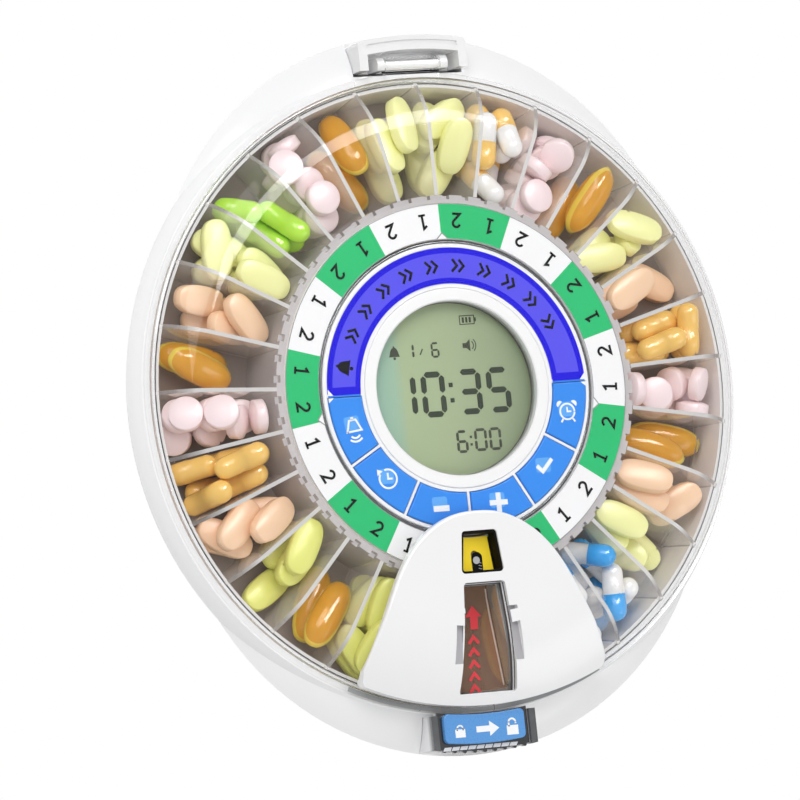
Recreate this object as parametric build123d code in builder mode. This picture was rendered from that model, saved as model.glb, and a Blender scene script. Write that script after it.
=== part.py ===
"""Automatic pill dispenser, lying on its back.

Millimetres. +Z is up and out of the display, +X to the right of a reader at the latch, +Y to the
hinge. The tray, the hub and the lid share the Z axis, and the feet stand on z = 0.
"""

import os
from math import asin, cos, degrees, pi, radians, sin, sqrt

from build123d import *

os.makedirs("parts", exist_ok=True)

# ---------------------------------------------------------------- driving dimensions
CASE_SIDE_R = 100.8  # widest level of the casing: a round body
LOBE_R = 88.6  # with a lobe at the hinge and one at the latch
LOBE_SHIFT = 21.9  # their centres stand this far from the middle
CASE_HALF_Y = LOBE_SHIFT + LOBE_R
CASE_WALL = 2.2
FOOT_HEIGHT = 1.5
BASE_FLOOR = 2.0
BOWL_INSET = 29.0  # how far the flat bottom stands inside the widest level
PARTING_Z = 21.0  # base shell to top casing
WIDEST_Z = 33.0  # the shoulder starts to close in here
SHOULDER_Z = 39.0  # flat ring that the lid comes down on
SHOULDER_R = 98.2

DECK_Z = 21.0  # underside of the deck under the tray
DECK_T = 1.6
WELL_R = 95.6
WELL_FLOOR_R = 93.2
WELL_WALL = 1.4

RING_Z = 50.0  # top of the number ring and of the hub's fascia
SLOTS = 29  # 28 compartments and the start position
PITCH = 360.0 / SLOTS
START_ANGLE = -90.0  # the start position rests under the windows
TRAY_FLOOR_Z = 24.0
TRAY_FLOOR_T = 1.5
TRAY_R = 94.3  # outer corner of the dividers
TRAY_WALL_TOP = 40.6
DIVIDER_T = 1.2
DIVIDER_INNER_R = 59.05
DIVIDER_TOP = 49.7
DIVIDER_BEND_R = 80.0  # from here out the dividers round down to the rim
DIVIDER_END_TOP = 41.9
START_PLATE_Z = 42.1
RING_OUTER_R = 56.4  # printed number ring
RING_INNER_R = 45.4
RING_T = 1.6
SKIRT_R = 45.6  # the tray turns on the hub with this radius

HUB_R = 44.2
HUB_BEARING_R = 45.3
FASCIA_T = 1.6
DISPLAY_R = 26.7
BEZEL_R = 30.5
KEY_INNER_R = 31.9
KEY_OUTER_R = 42.8
KEY_GAP = 0.65  # half the bar between two keys
KEY_CLEARANCE = 0.25
KEY_PROUD = 0.5
KEY_TRAVEL = 0.6
KEY_STEP = 30.0  # six keys fill the lower half of the ring

GEAR_MODULE = 1.0
RING_GEAR_TEETH = 95
PINION_TEETH = 13
PRESSURE_ANGLE = 20.0
BACKLASH = 0.14  # taken off each flank
GEAR_Z = 24.6
GEAR_FACE = 5.4

LID_CEILING_Z = 51.2
LID_T = 1.4
LID_BEND_R = 18.1  # the flat lid rounds down to its skirt with this radius
LID_BEND_CENTRE = (79.1, 33.16)
LID_INNER_R = 95.0
LID_SKIRT_R = 96.3
LID_FLANGE_R = 97.9
LID_BOTTOM_Z = 39.4
LID_FLANGE_T = 1.2

WEDGE_TOP_Z = 55.2
WEDGE_EDGE_Z = 47.9
WEDGE_FLAT_R = 69.0

HINGE_Y = 100.6
HINGE_Z = 40.4
HINGE_PIN_R = 1.25
HINGE_BORE_R = 1.3
HINGE_BARREL_R = 2.4
HINGE_BARREL_HALF = 9.0
BLOCK_HALF = 18.0  # rear block
BLOCK_TOP = 43.6
BLOCK_BACK_R = 109.3

LATCH_HALF = 17.3
LATCH_TOP = 44.4
LATCH_FRONT_Y = 110.0
LATCH_TRAVEL = 2.5
SLIDER_HALF = 14.9
PLATE_HALF = 13.4

CELL_R = 7.1  # AA
CELL_LENGTH = 50.0
CELL_PITCH = 15.0
BAY_FRONT_Y = -66.0
BAY_BACK_Y = -13.5
DOOR_TRAVEL = 4.0


# ---------------------------------------------------------------- helpers
def polar(radius, angle):
    return radius * cos(radians(angle)), radius * sin(radians(angle))


def sector(r_in, r_out, start, end, side_gap=0.0):
    """A piece of ring whose straight sides stand side_gap inside the two radial lines."""
    inner_inset = degrees(asin(side_gap / r_in))
    outer_inset = degrees(asin(side_gap / r_out))
    inner = CenterArc((0, 0), r_in, start + inner_inset, end - start - 2 * inner_inset)
    outer = CenterArc((0, 0), r_out, start + outer_inset, end - start - 2 * outer_inset)
    Line(inner @ 0, outer @ 0)
    Line(inner @ 1, outer @ 1)


def lid_bend(grow, r_end):
    """The rounded edge of the lid's ceiling, or of its top when grown, out to the skirt."""
    centre_r, centre_z = LID_BEND_CENTRE
    bend = LID_BEND_R + grow
    z_start = LID_CEILING_Z + grow
    r_start = centre_r + sqrt(bend**2 - (z_start - centre_z) ** 2)
    r_middle = (r_start + r_end) / 2
    z_middle = centre_z + sqrt(bend**2 - (r_middle - centre_r) ** 2)
    z_end = centre_z + sqrt(bend**2 - (r_end - centre_r) ** 2)
    return ThreePointArc((r_start, z_start), (r_middle, z_middle), (r_end, z_end))


def casing_profile(side_r, top_r, wall=0.0):
    """Half section of one round body of the casing, or of its hollow when a wall is given."""
    floor_z = FOOT_HEIGHT + (BASE_FLOOR if wall else 0.0)
    inset = BOWL_INSET + wall / 2
    bowl = ThreePointArc(
        (side_r - inset, floor_z),
        (side_r - 11.2 - 0.74 * wall, 14.2 + 0.67 * wall),
        (side_r - wall, WIDEST_Z),
    )
    shoulder = ThreePointArc(
        bowl @ 1,
        ((side_r + top_r) / 2 - wall, WIDEST_Z + 0.667 * (SHOULDER_Z - WIDEST_Z) - 0.7 * wall),
        (top_r - wall, SHOULDER_Z - wall),
    )
    Polyline(shoulder @ 1, (0, SHOULDER_Z - wall), (0, floor_z), bowl @ 0)


LOBE_SHOULDER_R = SHOULDER_R - LOBE_SHIFT - 1.0  # their flat rings end inside the round body's
CASING_BODIES = [
    # centre, widest radius, radius of the flat ring
    (0.0, CASE_SIDE_R, SHOULDER_R),
    (LOBE_SHIFT, LOBE_R, LOBE_SHOULDER_R),
    (-LOBE_SHIFT, LOBE_R, LOBE_SHOULDER_R),
]


# ---------------------------------------------------------------- base shell
bowl_floor_z = FOOT_HEIGHT + BASE_FLOOR
BOSSES = [(58.0, 34.0), (-58.0, 34.0), (58.0, -34.0), (-58.0, -34.0)]
BOSS_R = 3.6
DOOR_HALF = 29.7
door_tabs = [(BAY_FRONT_Y + 7.5, BAY_FRONT_Y + 13.5), (BAY_FRONT_Y + 32.5, BAY_FRONT_Y + 38.5)]

with BuildPart() as base_shell:
    for wall, mode in ((0.0, Mode.ADD), (CASE_WALL, Mode.SUBTRACT)):
        for centre_y, side_r, top_r in CASING_BODIES:
            with BuildSketch(Plane((0, centre_y, 0), x_dir=(1, 0, 0), z_dir=(0, -1, 0))):
                with BuildLine():
                    casing_profile(side_r, top_r, wall)
                make_face()
                with Locations((0, PARTING_Z / 2)):
                    Rectangle(4 * CASE_SIDE_R, PARTING_Z, mode=Mode.INTERSECT)
            revolve(axis=Axis((0, centre_y, 0), (0, 0, 1)), mode=mode)
    # screw bosses up to the deck
    with BuildSketch(Plane.XY.offset(bowl_floor_z)):
        with Locations(*BOSSES):
            Circle(BOSS_R)
    extrude(amount=DECK_Z - bowl_floor_z)
    with BuildSketch(Plane.XY.offset(FOOT_HEIGHT)):
        with Locations(*BOSSES):
            Circle(1.6)
    extrude(amount=DECK_Z, mode=Mode.SUBTRACT)
    with BuildSketch(Plane.XY.offset(FOOT_HEIGHT)):
        with Locations(*BOSSES):
            Circle(3.0)
    extrude(amount=1.8, mode=Mode.SUBTRACT)
    # battery door: opening, thumb gap in front of it, and notches that let its tabs out
    with BuildSketch(Plane.XY.offset(FOOT_HEIGHT)):
        with Locations((0, (BAY_FRONT_Y + BAY_BACK_Y) / 2)):
            Rectangle(2 * DOOR_HALF + 0.6, BAY_BACK_Y - BAY_FRONT_Y)
        for low, high in door_tabs:
            with Locations((0, (low + high) / 2 - DOOR_TRAVEL)):
                Rectangle(2 * DOOR_HALF + 4.4, high - low + 0.6)
    extrude(amount=BASE_FLOOR, mode=Mode.SUBTRACT)
    # buzzer slots
    with BuildSketch(Plane.XY.offset(FOOT_HEIGHT)):
        with Locations((-30, 40)):
            with GridLocations(0, 3.2, 1, 5):
                SlotOverall(14, 1.5)
    extrude(amount=BASE_FLOOR, mode=Mode.SUBTRACT)
base_shell.part.label = "base_shell"
export_step(base_shell.part, "parts/base_shell.step")

# ---------------------------------------------------------------- feet
FOOT_PLACES = [(44.0, 52.0), (-44.0, 52.0), (44.0, -52.0), (-44.0, -52.0)]
with BuildPart() as feet:
    with BuildSketch():
        with Locations(*FOOT_PLACES):
            Circle(6.0)
    extrude(amount=FOOT_HEIGHT)
    fillet(feet.edges().group_by(Axis.Z)[0], 0.5)
feet.part.label = "feet"
export_step(feet.part, "parts/feet.step")

# ---------------------------------------------------------------- casing screws
with BuildPart() as casing_screws:
    with BuildSketch(Plane.XY.offset(FOOT_HEIGHT + 0.2)):
        with Locations(*BOSSES):
            Circle(2.8)
    extrude(amount=1.6)
    with BuildSketch(Plane.XY.offset(FOOT_HEIGHT + 0.2)):
        with Locations(*BOSSES):
            Circle(1.45)
    extrude(amount=16.0)
    with BuildSketch(Plane.XY.offset(FOOT_HEIGHT + 0.2)):
        with Locations(*BOSSES):
            Rectangle(3.4, 0.7)
            Rectangle(0.7, 3.4)
    extrude(amount=0.9, mode=Mode.SUBTRACT)
casing_screws.part.label = "casing_screws"
export_step(casing_screws.part, "parts/casing_screws.step")

# ---------------------------------------------------------------- top casing
rear_cut_half = BLOCK_HALF + 0.2
latch_cut_half = LATCH_HALF + 0.2
PINION_Y = GEAR_MODULE * (RING_GEAR_TEETH - PINION_TEETH) / 2

with BuildPart() as top_casing:
    # the bowl's upper side and the domed shoulder, hollow from below
    for wall, mode in ((0.0, Mode.ADD), (CASE_WALL, Mode.SUBTRACT)):
        for centre_y, side_r, top_r in CASING_BODIES:
            with BuildSketch(Plane((0, centre_y, 0), x_dir=(1, 0, 0), z_dir=(0, -1, 0))):
                with BuildLine():
                    casing_profile(side_r, top_r, wall)
                make_face()
                with Locations((0, PARTING_Z + SHOULDER_Z / 2)):
                    Rectangle(4 * CASE_SIDE_R, SHOULDER_Z, mode=Mode.INTERSECT)
            revolve(axis=Axis((0, centre_y, 0), (0, 0, 1)), mode=mode)
    # the deck and the wall of the tray well, up to the lid's seat
    with BuildSketch(Plane.XZ):
        with BuildLine():
            Polyline(
                (0, DECK_Z),
                (WELL_FLOOR_R + WELL_WALL, DECK_Z),
                (WELL_R + WELL_WALL, SHOULDER_Z),
                (0, SHOULDER_Z),
                close=True,
            )
        make_face()
    revolve(axis=Axis.Z)
    with BuildSketch(Plane.XZ):
        with BuildLine():
            Polyline(
                (0, DECK_Z + DECK_T),
                (WELL_FLOOR_R, DECK_Z + DECK_T),
                (WELL_R, SHOULDER_Z),
                (WELL_R, SHOULDER_Z + 1),
                (0, SHOULDER_Z + 1),
                close=True,
            )
        make_face()
    revolve(axis=Axis.Z, mode=Mode.SUBTRACT)
    # rail that the tray runs on
    with BuildSketch(Plane.XY.offset(DECK_Z + DECK_T)):
        Circle(72.0)
        Circle(70.0, mode=Mode.SUBTRACT)
    extrude(amount=TRAY_FLOOR_Z - DECK_Z - DECK_T - 0.15)
    # hole under the hub, and the hole for the drive shaft
    with BuildSketch(Plane.XY.offset(DECK_Z)):
        Circle(30.0)
        with Locations((0, PINION_Y)):
            Circle(3.2)
        with Locations(*BOSSES):
            Circle(1.6)
    extrude(amount=DECK_T, mode=Mode.SUBTRACT)
    # seats of the rear block and of the latch
    with BuildSketch(Plane.XY.offset(WIDEST_Z)):
        with Locations((0, 104.5)):
            Rectangle(2 * rear_cut_half, 13.4)
        with Locations((0, -104.4)):
            Rectangle(2 * latch_cut_half, 12.6)
    extrude(amount=SHOULDER_Z, mode=Mode.SUBTRACT)
top_casing.part.label = "top_casing"
export_step(top_casing.part, "parts/top_casing.step")

# ---------------------------------------------------------------- hub housing
hub_base_z = DECK_Z + DECK_T
fascia_z = RING_Z - FASCIA_T
HUB_WALL = 2.0

with BuildPart() as hub_housing:
    with BuildSketch(Plane.XY.offset(hub_base_z)):
        Circle(HUB_BEARING_R)
    extrude(amount=45.0 - hub_base_z)
    with BuildSketch(Plane.XY.offset(45.0)):
        Circle(HUB_R)
    extrude(amount=fascia_z - 45.0)
    with BuildSketch(Plane.XY.offset(hub_base_z)):
        Circle(HUB_R - HUB_WALL)
    extrude(amount=RING_Z, mode=Mode.SUBTRACT)
    # thinner wall beside the keys
    with BuildSketch(Plane.XY.offset(fascia_z - 2.0)):
        Circle(KEY_OUTER_R + 0.6)
    extrude(amount=2.0, mode=Mode.SUBTRACT)
    # window that lets the pinion reach the tray's ring gear
    with BuildSketch(Plane.XY.offset(hub_base_z)):
        with Locations((0, PINION_Y)):
            Rectangle(17.5, 14.0)
    extrude(amount=GEAR_Z + GEAR_FACE + 1.0 - hub_base_z, mode=Mode.SUBTRACT)
    # ledge that carries the board
    with BuildSketch(Plane.XY.offset(40.8)):
        Circle(HUB_R - HUB_WALL)
        Circle(37.0, mode=Mode.SUBTRACT)
    extrude(amount=1.6)
hub_housing.part.label = "hub_housing"
export_step(hub_housing.part, "parts/hub_housing.step")

# ---------------------------------------------------------------- fascia
key_starts = [180.0 + KEY_STEP * i for i in range(6)]

with BuildPart() as hub_fascia:
    with BuildSketch(Plane.XY.offset(fascia_z)):
        Circle(HUB_R)
        Circle(BEZEL_R + 0.1, mode=Mode.SUBTRACT)
    extrude(amount=FASCIA_T)
    fillet(hub_fascia.edges().group_by(Axis.Z)[-1].sort_by(SortBy.LENGTH)[-1], 0.5)
    for start in key_starts:
        with BuildSketch(Plane.XY.offset(fascia_z)):
            with BuildLine():
                sector(
                    KEY_INNER_R - KEY_CLEARANCE,
                    KEY_OUTER_R + KEY_CLEARANCE,
                    start,
                    start + KEY_STEP,
                    KEY_GAP - KEY_CLEARANCE,
                )
            make_face()
        extrude(amount=FASCIA_T, mode=Mode.SUBTRACT)
    # shallow seat of the alarm label
    with BuildSketch(Plane.XY.offset(RING_Z - 0.5)):
        with BuildLine():
            sector(KEY_INNER_R - 0.1, KEY_OUTER_R + 0.1, 0, 180, KEY_GAP - 0.1)
        make_face()
    extrude(amount=0.5, mode=Mode.SUBTRACT)
hub_fascia.part.label = "hub_fascia"
export_step(hub_fascia.part, "parts/hub_fascia.step")

with BuildPart() as alarm_label:
    with BuildSketch(Plane.XY.offset(RING_Z - 0.5)):
        with BuildLine():
            sector(KEY_INNER_R, KEY_OUTER_R, 0, 180, KEY_GAP)
        make_face()
    extrude(amount=0.7)
alarm_label.part.label = "alarm_label"
export_step(alarm_label.part, "parts/alarm_label.step")

# ---------------------------------------------------------------- keys
KEY_NAMES = ["key_bell", "key_clock", "key_minus", "key_plus", "key_confirm", "key_alarm"]
key_top = RING_Z + KEY_PROUD
key_bottom = fascia_z - 1.4
keys = []
for name, start in zip(KEY_NAMES, key_starts):
    with BuildPart() as key:
        with BuildSketch(Plane.XY.offset(key_bottom + 0.4)):
            with BuildLine():
                sector(KEY_INNER_R, KEY_OUTER_R, start, start + KEY_STEP, KEY_GAP)
            make_face()
        extrude(amount=key_top - key_bottom - 0.4)
        fillet(key.edges().group_by(Axis.Z)[-1], 0.4)
        # lip that keeps the key under the fascia, and the stem over the key mat
        with BuildSketch(Plane.XY.offset(key_bottom + 0.4)):
            with BuildLine():
                sector(KEY_INNER_R - 0.6, KEY_OUTER_R - 1.6, start, start + KEY_STEP, KEY_GAP - 0.4)
            make_face()
        extrude(amount=0.8)
        with BuildSketch(Plane.XY.offset(key_bottom)):
            with Locations(polar(37.0, start + KEY_STEP / 2)):
                Circle(2.4)
        extrude(amount=0.5)
    key.part.label = name
    export_step(key.part, f"parts/{name}.step")
    keys.append(key)

# ---------------------------------------------------------------- board, key mat, sensors
board_z = 42.4
BOARD_T = 1.6
with BuildPart() as main_board:
    with BuildSketch(Plane.XY.offset(board_z)):
        Circle(HUB_R - HUB_WALL - 0.3)
        with Locations((0, PINION_Y)):
            Rectangle(10, 6, mode=Mode.SUBTRACT)
    extrude(amount=BOARD_T)
main_board.part.label = "main_board"
export_step(main_board.part, "parts/main_board.step")

mat_z = board_z + BOARD_T
dome_top = key_bottom - KEY_TRAVEL - 0.1
with BuildPart() as key_mat:
    with BuildSketch(Plane.XY.offset(mat_z)):
        with BuildLine():
            sector(30.5, 41.0, 180, 360, KEY_GAP)
        make_face()
    extrude(amount=1.2)
    with BuildSketch(Plane.XY.offset(mat_z + 1.2)):
        with PolarLocations(37.0, 6, start_angle=180.0 + KEY_STEP / 2, angular_range=180.0):
            Circle(3.2)
    extrude(amount=dome_top - mat_z - 1.2)
key_mat.part.label = "key_mat"
export_step(key_mat.part, "parts/key_mat.step")

display_z = mat_z + 0.2
DISPLAY_T = 1.0
with BuildPart() as display_module:
    with BuildSketch(Plane.XY.offset(display_z)):
        Circle(28.0)
    extrude(amount=DISPLAY_T)
display_module.part.label = "display_module"
export_step(display_module.part, "parts/display_module.step")

with BuildPart() as display_window:
    with BuildSketch(Plane.XY.offset(display_z + DISPLAY_T + 0.2)):
        Circle(27.5)
    extrude(amount=0.8)
display_window.part.label = "display_window"
export_step(display_window.part, "parts/display_window.step")

bezel_seat_z = display_z + DISPLAY_T + 1.0
with BuildPart() as display_bezel:
    with BuildSketch(Plane.XY.offset(bezel_seat_z)):
        Circle(BEZEL_R)
        Circle(DISPLAY_R, mode=Mode.SUBTRACT)
    extrude(amount=RING_Z + 0.3 - bezel_seat_z)
    chamfer(display_bezel.edges().group_by(Axis.Z)[-1].sort_by(SortBy.LENGTH)[0], 0.3)
    fillet(display_bezel.edges().group_by(Axis.Z)[-1].sort_by(SortBy.LENGTH)[-1], 0.4)
    with BuildSketch(Plane.XY.offset(display_z)):
        Circle(BEZEL_R - 0.4)
        Circle(28.3, mode=Mode.SUBTRACT)
    extrude(amount=bezel_seat_z - display_z)
display_bezel.part.label = "display_bezel"
export_step(display_bezel.part, "parts/display_bezel.step")

with BuildPart() as buzzer:
    with BuildSketch(Plane.XY.offset(bowl_floor_z)):
        with Locations((-30, 40)):
            Circle(9.0)
    extrude(amount=5.0)
    with BuildSketch(Plane.XY.offset(bowl_floor_z)):
        with Locations((-30, 40)):
            Circle(7.6)
    extrude(amount=0.8, mode=Mode.SUBTRACT)
buzzer.part.label = "buzzer"
export_step(buzzer.part, "parts/buzzer.step")

with BuildPart() as tilt_switch:
    with BuildSketch(Plane.XY.offset(board_z - 8.0)):
        with Locations((-14, -12)):
            RectangleRounded(7, 7, 1.2)
    extrude(amount=8.0)
tilt_switch.part.label = "tilt_switch"
export_step(tilt_switch.part, "parts/tilt_switch.step")

# ---------------------------------------------------------------- gearmotor under the deck
SHAFT_R = 2.0
gearbox_top = DECK_Z - 0.5
with BuildPart() as drive_gearbox:
    with BuildSketch(Plane.XY.offset(6.0)):
        with Locations((0, PINION_Y)):
            RectangleRounded(28, 24, 3)
    extrude(amount=gearbox_top - 6.0)
    with BuildSketch(Plane.XY.offset(gearbox_top - 6.0)):
        with Locations((0, PINION_Y)):
            Circle(SHAFT_R + 0.05)
    extrude(amount=6.0, mode=Mode.SUBTRACT)
    # legs down to the base's floor
    with BuildSketch(Plane.XY.offset(bowl_floor_z)):
        with Locations((0, PINION_Y)):
            with GridLocations(22, 18, 2, 2):
                Circle(2.0)
    extrude(amount=6.0 - bowl_floor_z)
drive_gearbox.part.label = "drive_gearbox"
export_step(drive_gearbox.part, "parts/drive_gearbox.step")

MOTOR_R = 7.0
MOTOR_LENGTH = 24.0
motor_back_y = PINION_Y - 12.0
with BuildPart() as drive_motor:
    with BuildSketch(Plane.XZ.offset(-motor_back_y)):
        with Locations((0, 13.2)):
            Circle(MOTOR_R)
            Rectangle(2 * MOTOR_R + 2, 10, mode=Mode.INTERSECT)
    extrude(amount=MOTOR_LENGTH)
    with BuildSketch(Plane.XZ.offset(-motor_back_y + MOTOR_LENGTH)):
        with Locations((0, 13.2)):
            Circle(2.4)
    extrude(amount=1.6)
drive_motor.part.label = "drive_motor"
export_step(drive_motor.part, "parts/drive_motor.step")


# ---------------------------------------------------------------- gears
def involute_angle(base_radius, radius):
    """Polar angle of an involute point, from where the involute leaves its base circle."""
    if radius <= base_radius:
        return 0.0
    roll = sqrt((radius / base_radius) ** 2 - 1)
    return degrees(roll) - degrees(acos_safe(base_radius / radius))


def acos_safe(value):
    return pi / 2 - asin(min(1.0, value))


def tooth_half_angles(teeth, radii, thinner):
    """Half angle that an external tooth of this count fills at each radius."""
    pitch_r = GEAR_MODULE * teeth / 2
    base_r = pitch_r * cos(radians(PRESSURE_ANGLE))
    at_pitch = 90.0 / teeth - degrees(thinner / pitch_r)
    flank = involute_angle(base_r, pitch_r)
    return [at_pitch + flank - involute_angle(base_r, radius) for radius in radii]


def toothed_points(teeth, radii, half_angles, middle):
    """Points of a closed gear outline: each tooth goes up one flank and down the other."""
    points = []
    for tooth in range(teeth):
        centre = middle + 360.0 * tooth / teeth
        for radius, half in zip(radii, half_angles):
            points.append(polar(radius, centre - half))
        for radius, half in zip(reversed(radii), reversed(half_angles)):
            points.append(polar(radius, centre + half))
    return points


pinion_pitch_r = GEAR_MODULE * PINION_TEETH / 2
pinion_radii = [
    pinion_pitch_r - 1.0,
    pinion_pitch_r - 0.39,
    pinion_pitch_r + 0.1,
    pinion_pitch_r + 0.5,
    pinion_pitch_r + 0.85,
]
pinion_half = tooth_half_angles(PINION_TEETH, pinion_radii, BACKLASH)
pinion_shaft_bottom = gearbox_top - 5.6

with BuildPart() as drive_pinion:
    with BuildSketch(Plane((0, PINION_Y, GEAR_Z + 0.2))):
        with BuildLine():
            Polyline(*toothed_points(PINION_TEETH, pinion_radii, pinion_half, 90.0), close=True)
        make_face()
    extrude(amount=GEAR_FACE - 0.4)
    with BuildSketch(Plane((0, PINION_Y, pinion_shaft_bottom))):
        Circle(SHAFT_R)
    extrude(amount=GEAR_Z + 0.2 - pinion_shaft_bottom)
drive_pinion.part.label = "drive_pinion"
export_step(drive_pinion.part, "parts/drive_pinion.step")

# the ring gear's spaces have the outline of an external tooth, a little wider than the pinion's
ring_pitch_r = GEAR_MODULE * RING_GEAR_TEETH / 2
space_radii = [ring_pitch_r - 0.65, ring_pitch_r + 1.15]
space_half = tooth_half_angles(RING_GEAR_TEETH, space_radii, -BACKLASH / 2)
GEAR_RIM_R = 50.6

with BuildPart() as ring_gear:
    with BuildSketch(Plane.XY.offset(GEAR_Z)):
        Circle(GEAR_RIM_R)
        with BuildLine():
            Polyline(*toothed_points(RING_GEAR_TEETH, space_radii, space_half, 90.0), close=True)
        make_face(mode=Mode.SUBTRACT)
    extrude(amount=GEAR_FACE)
ring_gear.part.label = "ring_gear"
export_step(ring_gear.part, "parts/ring_gear.step")

# ---------------------------------------------------------------- tray
slot_edges = [START_ANGLE + PITCH * (i + 0.5) for i in range(SLOTS)]
tray_floor_top = TRAY_FLOOR_Z + TRAY_FLOOR_T

with BuildPart() as tray_floor:
    with BuildSketch(Plane.XY.offset(TRAY_FLOOR_Z)):
        Circle(92.6)
        Circle(56.0, mode=Mode.SUBTRACT)
    extrude(amount=TRAY_FLOOR_T)
tray_floor.part.label = "tray_floor"
export_step(tray_floor.part, "parts/tray_floor.step")

WALL_FOOT_R = 91.3
WALL_HEAD_R = 93.2
with BuildPart() as tray_outer_wall:
    with BuildSketch(Plane.XZ):
        with BuildLine():
            Polyline(
                (WALL_FOOT_R, tray_floor_top),
                (WALL_HEAD_R, TRAY_WALL_TOP),
                (94.5, TRAY_WALL_TOP),
                (94.5, TRAY_WALL_TOP - 1.2),
                (94.2, TRAY_WALL_TOP - 1.2),
                (92.6, tray_floor_top),
                close=True,
            )
        make_face()
    revolve(axis=Axis.Z)
tray_outer_wall.part.label = "tray_outer_wall"
export_step(tray_outer_wall.part, "parts/tray_outer_wall.step")

# inner wall, the flange that carries the number ring, and the skirt that turns on the hub
WALL_TOP = 49.4
FLANGE_TOP = RING_Z - RING_T
CASTELLATIONS = 2 * SLOTS
with BuildPart() as tray_inner_wall:
    with BuildSketch(Plane.XZ):
        with BuildLine():
            Polyline(
                (SKIRT_R, GEAR_Z + GEAR_FACE),
                (SKIRT_R, FLANGE_TOP),
                (RING_OUTER_R + 0.2, FLANGE_TOP),
                (RING_OUTER_R + 0.2, WALL_TOP),
                (59.0, WALL_TOP),
                (59.0, tray_floor_top),
                (57.6, tray_floor_top),
                (57.6, FLANGE_TOP - 1.6),
                (48.4, FLANGE_TOP - 1.6),
                (48.4, GEAR_Z + GEAR_FACE + 3.0),
                (GEAR_RIM_R, GEAR_Z + GEAR_FACE + 3.0),
                (GEAR_RIM_R, GEAR_Z + GEAR_FACE),
                close=True,
            )
        make_face()
    revolve(axis=Axis.Z)
    with BuildSketch(Plane.XY.offset(WALL_TOP - 2.2)):
        with PolarLocations(58.6, CASTELLATIONS, start_angle=START_ANGLE + PITCH / 4):
            Rectangle(1.8, 2.2)
    extrude(amount=2.2, mode=Mode.SUBTRACT)
tray_inner_wall.part.label = "tray_inner_wall"
export_step(tray_inner_wall.part, "parts/tray_inner_wall.step")

with BuildPart() as tray_dividers:
    for angle in slot_edges:
        along = Plane(origin=(0, 0, 0), x_dir=(*polar(1, angle), 0), z_dir=(*polar(1, angle - 90), 0))
        with BuildSketch(along):
            with BuildLine():
                Polyline(
                    (TRAY_R, DIVIDER_END_TOP),
                    (TRAY_R, TRAY_WALL_TOP + 0.05),
                    (WALL_HEAD_R - 0.06, TRAY_WALL_TOP + 0.05),
                    (WALL_FOOT_R - 0.06, tray_floor_top),
                    (DIVIDER_INNER_R, tray_floor_top),
                    (DIVIDER_INNER_R, DIVIDER_TOP),
                    (DIVIDER_BEND_R, DIVIDER_TOP),
                )
                Spline(
                    (DIVIDER_BEND_R, DIVIDER_TOP),
                    (85.5, 48.6),
                    (89.5, 46.2),
                    (TRAY_R, DIVIDER_END_TOP),
                )
            make_face()
        extrude(amount=DIVIDER_T / 2, both=True)
tray_dividers.part.label = "tray_dividers"
export_step(tray_dividers.part, "parts/tray_dividers.step")

start_low = START_ANGLE - PITCH / 2
start_high = START_ANGLE + PITCH / 2
with BuildPart() as start_plate:
    with BuildSketch(Plane.XY.offset(START_PLATE_Z)):
        with BuildLine():
            sector(59.4, 91.8, start_low, start_high, DIVIDER_T / 2 + 0.05)
        make_face()
    extrude(amount=1.2)
start_plate.part.label = "start_plate"
export_step(start_plate.part, "parts/start_plate.step")

# ---------------------------------------------------------------- number ring and start sector
SLOT_HALF = 1.15
SLOT_FROM = 49.6
SLOT_TO = 54.4
with BuildPart() as number_ring:
    with BuildSketch(Plane.XY.offset(FLANGE_TOP)):
        with BuildLine():
            sector(RING_INNER_R, RING_OUTER_R, start_high, start_low + 360, 0.05)
        make_face()
    extrude(amount=RING_T)
number_ring.part.label = "number_ring"
export_step(number_ring.part, "parts/number_ring.step")

with BuildPart() as start_sector:
    with BuildSketch(Plane.XY.offset(FLANGE_TOP)):
        with BuildLine():
            sector(RING_INNER_R, RING_OUTER_R, start_low, start_high, 0.05)
        make_face()
        with Locations((0, -(SLOT_FROM + SLOT_TO) / 2)):
            SlotOverall(SLOT_TO - SLOT_FROM, 2 * SLOT_HALF, rotation=90, mode=Mode.SUBTRACT)
    extrude(amount=RING_T)
start_sector.part.label = "start_sector"
export_step(start_sector.part, "parts/start_sector.step")

with BuildPart() as start_screw:
    with BuildSketch(Plane.XY.offset(FLANGE_TOP)):
        with Locations((0, -(SLOT_FROM + SLOT_TO) / 2 - 0.6)):
            Circle(1.05)
    extrude(amount=1.3)
    fillet(start_screw.edges().group_by(Axis.Z)[-1], 0.45)
start_screw.part.label = "start_screw"
export_step(start_screw.part, "parts/start_screw.step")

# ---------------------------------------------------------------- lid
WINDOW_TOP_Y = -59.5
WINDOW_BOTTOM_Y = -93.0
WINDOW_TOP_HALF = 6.8
WINDOW_BOTTOM_HALF = 9.6
MARKER_TOP_Y = -44.6
MARKER_BOTTOM_Y = -56.0
MARKER_TOP_HALF = 5.0
MARKER_BOTTOM_HALF = 6.35


def trapezoid(y_near, y_far, half_near, half_far, grow=0.0):
    """The four corners of a window that widens away from the hub."""
    return [
        (-half_near - grow, y_near + grow),
        (half_near + grow, y_near + grow),
        (half_far + grow, y_far - grow),
        (-half_far - grow, y_far - grow),
    ]


window_corners = trapezoid(WINDOW_TOP_Y, WINDOW_BOTTOM_Y, WINDOW_TOP_HALF, WINDOW_BOTTOM_HALF)
marker_corners = trapezoid(MARKER_TOP_Y, MARKER_BOTTOM_Y, MARKER_TOP_HALF, MARKER_BOTTOM_HALF)
SLEEVE_T = 0.7
marker_hole = trapezoid(
    MARKER_TOP_Y, MARKER_BOTTOM_Y, MARKER_TOP_HALF, MARKER_BOTTOM_HALF, SLEEVE_T + 0.05
)

WINDOW_CORNER_R = 1.2

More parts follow.
